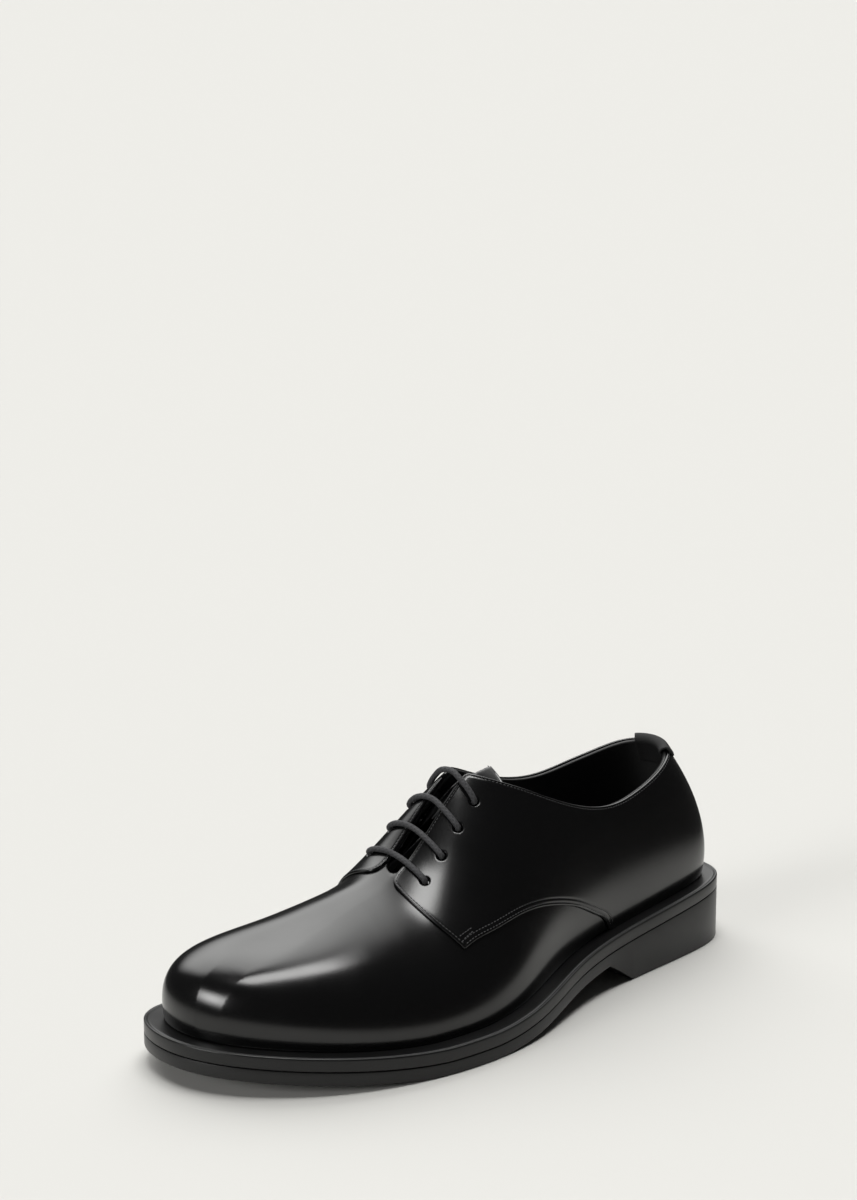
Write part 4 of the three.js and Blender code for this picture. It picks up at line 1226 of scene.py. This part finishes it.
# Back tab
def tab_net():
    across = np.linspace(-TAB_WIDTH / 2, TAB_WIDTH / 2, 22)
    half_turn = np.linspace(0, math.pi, 9)
    outside_up = QUARTER_STEP + GAP * 0.4
    inside_up = -WALL - GAP * 0.4
    net = []
    us = np.linspace(-0.09, 0.09, 181)
    ribs = rib(us[:, None], np.linspace(0.5, 1, 300)[None, :])
    crossing = (ribs[..., 2] > collar_height(ribs)).argmax(1)
    top_x = ribs[np.arange(181), crossing, 0]
    order = np.argsort(top_x)
    middle_x = float(axis_at(HEEL_Y - 5))
    for x in across:
        u = float(np.interp(middle_x + x, top_x[order], us[order]))
        v_line = np.linspace(0.5, 1, 500)
        line = rib(np.full(500, u), v_line)
        run = run_of(line)
        top_at = np.interp(0, line[:, 2] - collar_height(line), run)
        way = normal(np.full(500, u), v_line)

        def spot(distance, offset):
            place = np.array([np.interp(top_at + distance, run, line[:, k]) for k in range(3)])
            turn = unit(np.array([np.interp(top_at + distance, run, way[:, k]) for k in range(3)]))
            return place + turn * offset

        up = unit(spot(0.5, 0) - spot(-0.5, 0))
        column = [spot(-d, outside_up) for d in np.linspace(TAB_OUTSIDE, 0, 5)]
        middle, radius = (outside_up + inside_up) / 2, (outside_up - inside_up) / 2
        centre = spot(0, middle)
        n = unit(spot(0, 1) - spot(0, 0))
        for a in half_turn:
            rise = 0.2 + math.sin(a) * radius * TAB_FOLD
            column.append(centre + n * math.cos(a) * radius + up * rise)
        column += [spot(-d, inside_up) for d in np.linspace(0.8, TAB_INSIDE, 10)]
        net.append(column)
    return np.array(net)


TAPE_THREADS, TAPE_ROWS = 22, 24  # across the tab and along it
tab_look = woven_look("black_tape", (0.012, 0.012, 0.012), across=2 * math.pi * TAPE_THREADS,
                      along=2 * math.pi * TAPE_ROWS, strength=0.5)
tab = wrapped("tape_tab", tab_net(), tab_look)
pick(tab)
thick = tab.modifiers.new("thickness", "SOLIDIFY")
thick.thickness = TAB_THICKNESS * 0.85 * MM
thick.offset = 1.0
bpy.ops.object.modifier_apply(modifier="thickness")
soft = tab.modifiers.new("soft_edge", "BEVEL")
soft.width = 0.3 * MM
soft.segments = 2
soft.limit_method = "ANGLE"
bpy.ops.object.modifier_apply(modifier="soft_edge")
bpy.ops.object.shade_smooth()

# Stitches
PITCH = 1.7


# Places, tangents and outward directions of the stitches beside a line, on the inside of the
# flat outline of their piece.
def stitch_row(line, distance, top, pattern, pitch=PITCH, first=0.0, end=0.0):
    points = rib(line[:, 0], line[:, 1])
    tangent = unit(np.gradient(points, axis=0))
    way = np.cross(normal(line[:, 0], line[:, 1]), tangent)
    step = step_on_last(line, way) * distance
    if inside(flat(line + step), pattern).mean() < 0.5:
        step = -step
    places = line + step
    points = rib(places[:, 0], places[:, 1])
    run = run_of(points)
    count = int((run[-1] - first - end) / pitch)
    at = first + (np.arange(count) + 0.5) * pitch
    spots = np.stack([np.interp(at, run, places[:, k]) for k in range(2)], -1)
    ahead = np.stack([np.interp(at + 0.2, run, places[:, k]) for k in range(2)], -1)
    here = lasted(spots[:, 0], spots[:, 1], np.full(count, top))
    onward = unit(lasted(ahead[:, 0], ahead[:, 1], np.full(count, top)) - here)
    return here, onward, normal(spots[:, 0], spots[:, 1])


# Bar tack at the lower corner of a facing: two short rows, each given by its ends in
# millimetres back and up from the corner.
BAR_TACK = [((0.2, 4.5), (8.2, 6.9)), ((1.6, 3.3), (8.3, 5.8))]


def all_stitches():
    sunk = QUARTER_STEP - 0.1
    quarter_pattern = flat(outline(quarter_rim, 1.1)[0])
    tongue_pattern = flat(outline(tongue_rim, 1.1)[0])
    rows = []
    for side, lines in ((1, outer), (-1, inner)):
        for distance, first, end in ((STITCH_IN, 2.2, 1.0), (SECOND_STITCH_IN, 1.0, 2.0)):
            rows.append(stitch_row(lines["seam"], distance, sunk, quarter_pattern, first=first, end=end))
        bend = joined(lines["low"][::-1], lines["corner"][::-1], lines["front"][::-1])
        rows.append(stitch_row(bend, STITCH_IN, sunk, quarter_pattern, first=1.5, end=3.2))
        rows.append(stitch_row(lines["top"][::-1], STITCH_IN, sunk, quarter_pattern, first=3.0, end=0.5))
        corner = lasted(lines["seam"][:1, 0], lines["seam"][:1, 1], np.array([QUARTER_STEP]))[0]
        for (back_a, up_a), (back_b, up_b) in BAR_TACK:
            t = np.linspace(0, 1, 12)
            y = corner[1] + back_a + (back_b - back_a) * t
            z = corner[2] + up_a + (up_b - up_a) * t
            tack = find_side(side, QUARTER_STEP, y, z)
            rows.append(stitch_row(tack, 0.0, QUARTER_STEP + 0.05, quarter_pattern, pitch=1.5))
    for line in (tongue_o[0], tongue_i[0]):
        here, tangent, way = stitch_row(line, 1.6, 0.0, tongue_pattern, first=0.6)
        lower = tongue_offset(here[:, 1]) - 0.1
        here = here + way * lower[:, None]
        here[:, 2] -= tongue_sag(here)
        rows.append((here, tangent, way))
    return [np.vstack([row[k] for row in rows]) for k in range(3)]


STITCH_LENGTH, STITCH_WIDTH, STITCH_HEIGHT = 1.15, 0.46, 0.42


def sew(name, look):
    here, tangent, way = all_stitches()
    bpy.ops.object.select_all(action="DESELECT")
    bpy.ops.mesh.primitive_uv_sphere_add(segments=8, ring_count=6, radius=0.5)
    model = bpy.context.object
    co = np.zeros(len(model.data.vertices) * 3)
    model.data.vertices.foreach_get("co", co)
    co = co.reshape(-1, 3)
    faces = [list(face.vertices) for face in model.data.polygons]
    bpy.data.objects.remove(model)
    side = unit(np.cross(way, tangent))
    points = (here[:, None] + co[None, :, 2:3] * STITCH_LENGTH * tangent[:, None]
              + co[None, :, 0:1] * STITCH_WIDTH * side[:, None]
              + co[None, :, 1:2] * STITCH_HEIGHT * way[:, None])
    count = len(co)
    every = [[index + i * count for index in face] for i in range(len(here)) for face in faces]
    thing = new_mesh(name, points.reshape(-1, 3), every, look)
    point_out(thing)
    return thing


stitching = sew("stitching", thread)

# Floor, light and background

FLOOR_WIDTH = 80  # metres, past all that the camera sees
FLOOR_COLOR = (0.60, 0.594, 0.575)
LIT_REACH, LIT_FADE = 0.10, 0.16  # paper that the shoe mirrors keeps its colour within this reach, and is painted dark over the run of the fade
SHOE_AXIS_HALF = 0.12  # half the length of the line that the reach is measured from
PAINTED_DARK_SHARE = 0.06  # of the paper's colour that is left beyond the fade, in the painted shade of what the leather mirrors
floor_look, floor_tree, floor_shader = material("pale_floor", FLOOR_COLOR, 0.9)
floor_shader.inputs["Specular IOR Level"].default_value = 0.0


# Painted shade on the mirrored floor: in what the leather mirrors, the paper is painted dark beyond a
# reach from the shoe, so that the leather mirrors a dark surround. Seen straight, the paper stays evenly
# pale.
def paint_mirrored_floor_dark(tree, shader):
    place = node(tree, "ShaderNodeTexCoord").outputs["Object"]
    parts = node(tree, "ShaderNodeSeparateXYZ", {"Vector": place})
    long = maths(tree, "ABSOLUTE", parts.outputs["Y"])
    past = maths(tree, "SUBTRACT", long, SHOE_AXIS_HALF)
    past = maths(tree, "MAXIMUM", past, 0.0)
    plan = node(tree, "ShaderNodeCombineXYZ", {"X": parts.outputs["X"], "Y": past}).outputs[0]
    far = node(tree, "ShaderNodeVectorMath", {0: plan}, operation="LENGTH").outputs["Value"]
    fade = node(tree, "ShaderNodeMapRange", {
        "Value": far, "From Min": LIT_REACH, "From Max": LIT_REACH + LIT_FADE,
        "To Min": 0.0, "To Max": 1.0 - PAINTED_DARK_SHARE},
        interpolation_type="SMOOTHSTEP").outputs["Result"]
    # Only reflections get the painted shade; the camera sees the paper's own colour.
    mirrored = node(tree, "ShaderNodeLightPath").outputs["Is Glossy Ray"]
    painted_shade_amount = maths(tree, "MULTIPLY", fade, mirrored)
    painted_shade_tint = node(tree, "ShaderNodeMix", {"Factor": painted_shade_amount}, data_type="RGBA")
    painted_shade_tint.inputs["A"].default_value = (*FLOOR_COLOR, 1)
    painted_shade_tint.inputs["B"].default_value = (0, 0, 0, 1)
    tree.links.new(painted_shade_tint.outputs["Result"], shader.inputs["Base Color"])


paint_mirrored_floor_dark(floor_tree, floor_shader)
bpy.ops.object.select_all(action="DESELECT")
bpy.ops.mesh.primitive_plane_add(size=FLOOR_WIDTH)
floor = bpy.context.object
floor.name = "floor"
floor.data.materials.append(floor_look)

world = bpy.data.worlds.new("studio")
bpy.context.scene.world = world
world.use_nodes = True
sky = world.node_tree
ground = sky.nodes["Background"]
look_way = node(sky, "ShaderNodeTexCoord").outputs["Generated"]


# Soft window of light in the studio, seen in a direction: azimuth round from the camera's side,
# elevation, half width, half height, softness and strength.
def window(azimuth, elevation, half_width, half_height, softness, strength):
    a, e = math.radians(azimuth), math.radians(elevation)
    to = Vector((math.sin(a) * math.cos(e), -math.cos(a) * math.cos(e), math.sin(e)))
    right = Vector((math.cos(a), math.sin(a), 0))
    up = to.cross(right)
    parts = [node(sky, "ShaderNodeVectorMath", {0: look_way, 1: way},
                  operation="DOT_PRODUCT").outputs["Value"] for way in (to, right, up)]
    front = maths(sky, "MAXIMUM", parts[0], 0.02)
    masks = []
    for part, half in ((parts[1], half_width), (parts[2], half_height)):
        ratio = maths(sky, "DIVIDE", part, front)
        size = maths(sky, "ABSOLUTE", ratio)
        mask = node(sky, "ShaderNodeMapRange", {
            "Value": size, "From Min": half - softness, "From Max": half + softness,
            "To Min": 1.0, "To Max": 0.0}, interpolation_type="SMOOTHSTEP")
        masks.append(mask.outputs["Result"])
    ahead = maths(sky, "GREATER_THAN", parts[0], 0.03)
    both = maths(sky, "MULTIPLY", masks[0], masks[1])
    seen = maths(sky, "MULTIPLY", both, ahead)
    return maths(sky, "MULTIPLY", seen, strength)


# Azimuth, elevation, half width, half height, softness, strength
WINDOWS = [
    (90.0, 86.0, 0.35, 0.14, 0.07, 11.0),
    (357.0, 20.0, 0.17, 0.17, 0.15, 13.0),
    (236.0, 48.0, 0.72, 0.40, 0.26, 3.3),
]
AMBIENT = 0.04
total = None
for each in WINDOWS:
    lit = window(*each)
    total = lit if total is None else maths(sky, "ADD", total, lit)
total = maths(sky, "ADD", total, AMBIENT)
sky.links.new(total, ground.inputs["Strength"])
ground.inputs["Color"].default_value = (1, 1, 0.985, 1)
backdrop = node(sky, "ShaderNodeBackground", {"Color": (0.875, 0.875, 0.835, 1), "Strength": 1.0})
camera_ray = node(sky, "ShaderNodeLightPath").outputs["Is Camera Ray"]
both = node(sky, "ShaderNodeMixShader", {0: camera_ray, 1: ground.outputs[0], 2: backdrop.outputs[0]})
sky.links.new(both.outputs[0], sky.nodes["World Output"].inputs["Surface"])
bpy.context.scene.view_settings.view_transform = "Standard"

# Riding: the insole takes the lining, the new pieces ride on the root, and the imported ones they replace
# are hidden
insole_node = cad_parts["insole"]
insole_node.data.materials.clear()
insole_node.data.materials.append(lining)

for piece, slot_name in (
    (quarters, "upper_leather"), (vamp, "upper_leather"), (quarter_lining, "lining_leather"),
    (tongue, "upper_leather"), (midsole, "sole_edge"), (outsole, "sole_edge"),
    (lace_piece, "lace_cord"), (tab, "tab_tape"), (stitching, "lace_cord"),
):
    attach(piece, "root")
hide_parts("upper")
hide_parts("upper")
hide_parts("upper")
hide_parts("tongue")
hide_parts("midsole_welt")
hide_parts("outsole_heel")
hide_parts("lace")
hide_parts("back_tab")
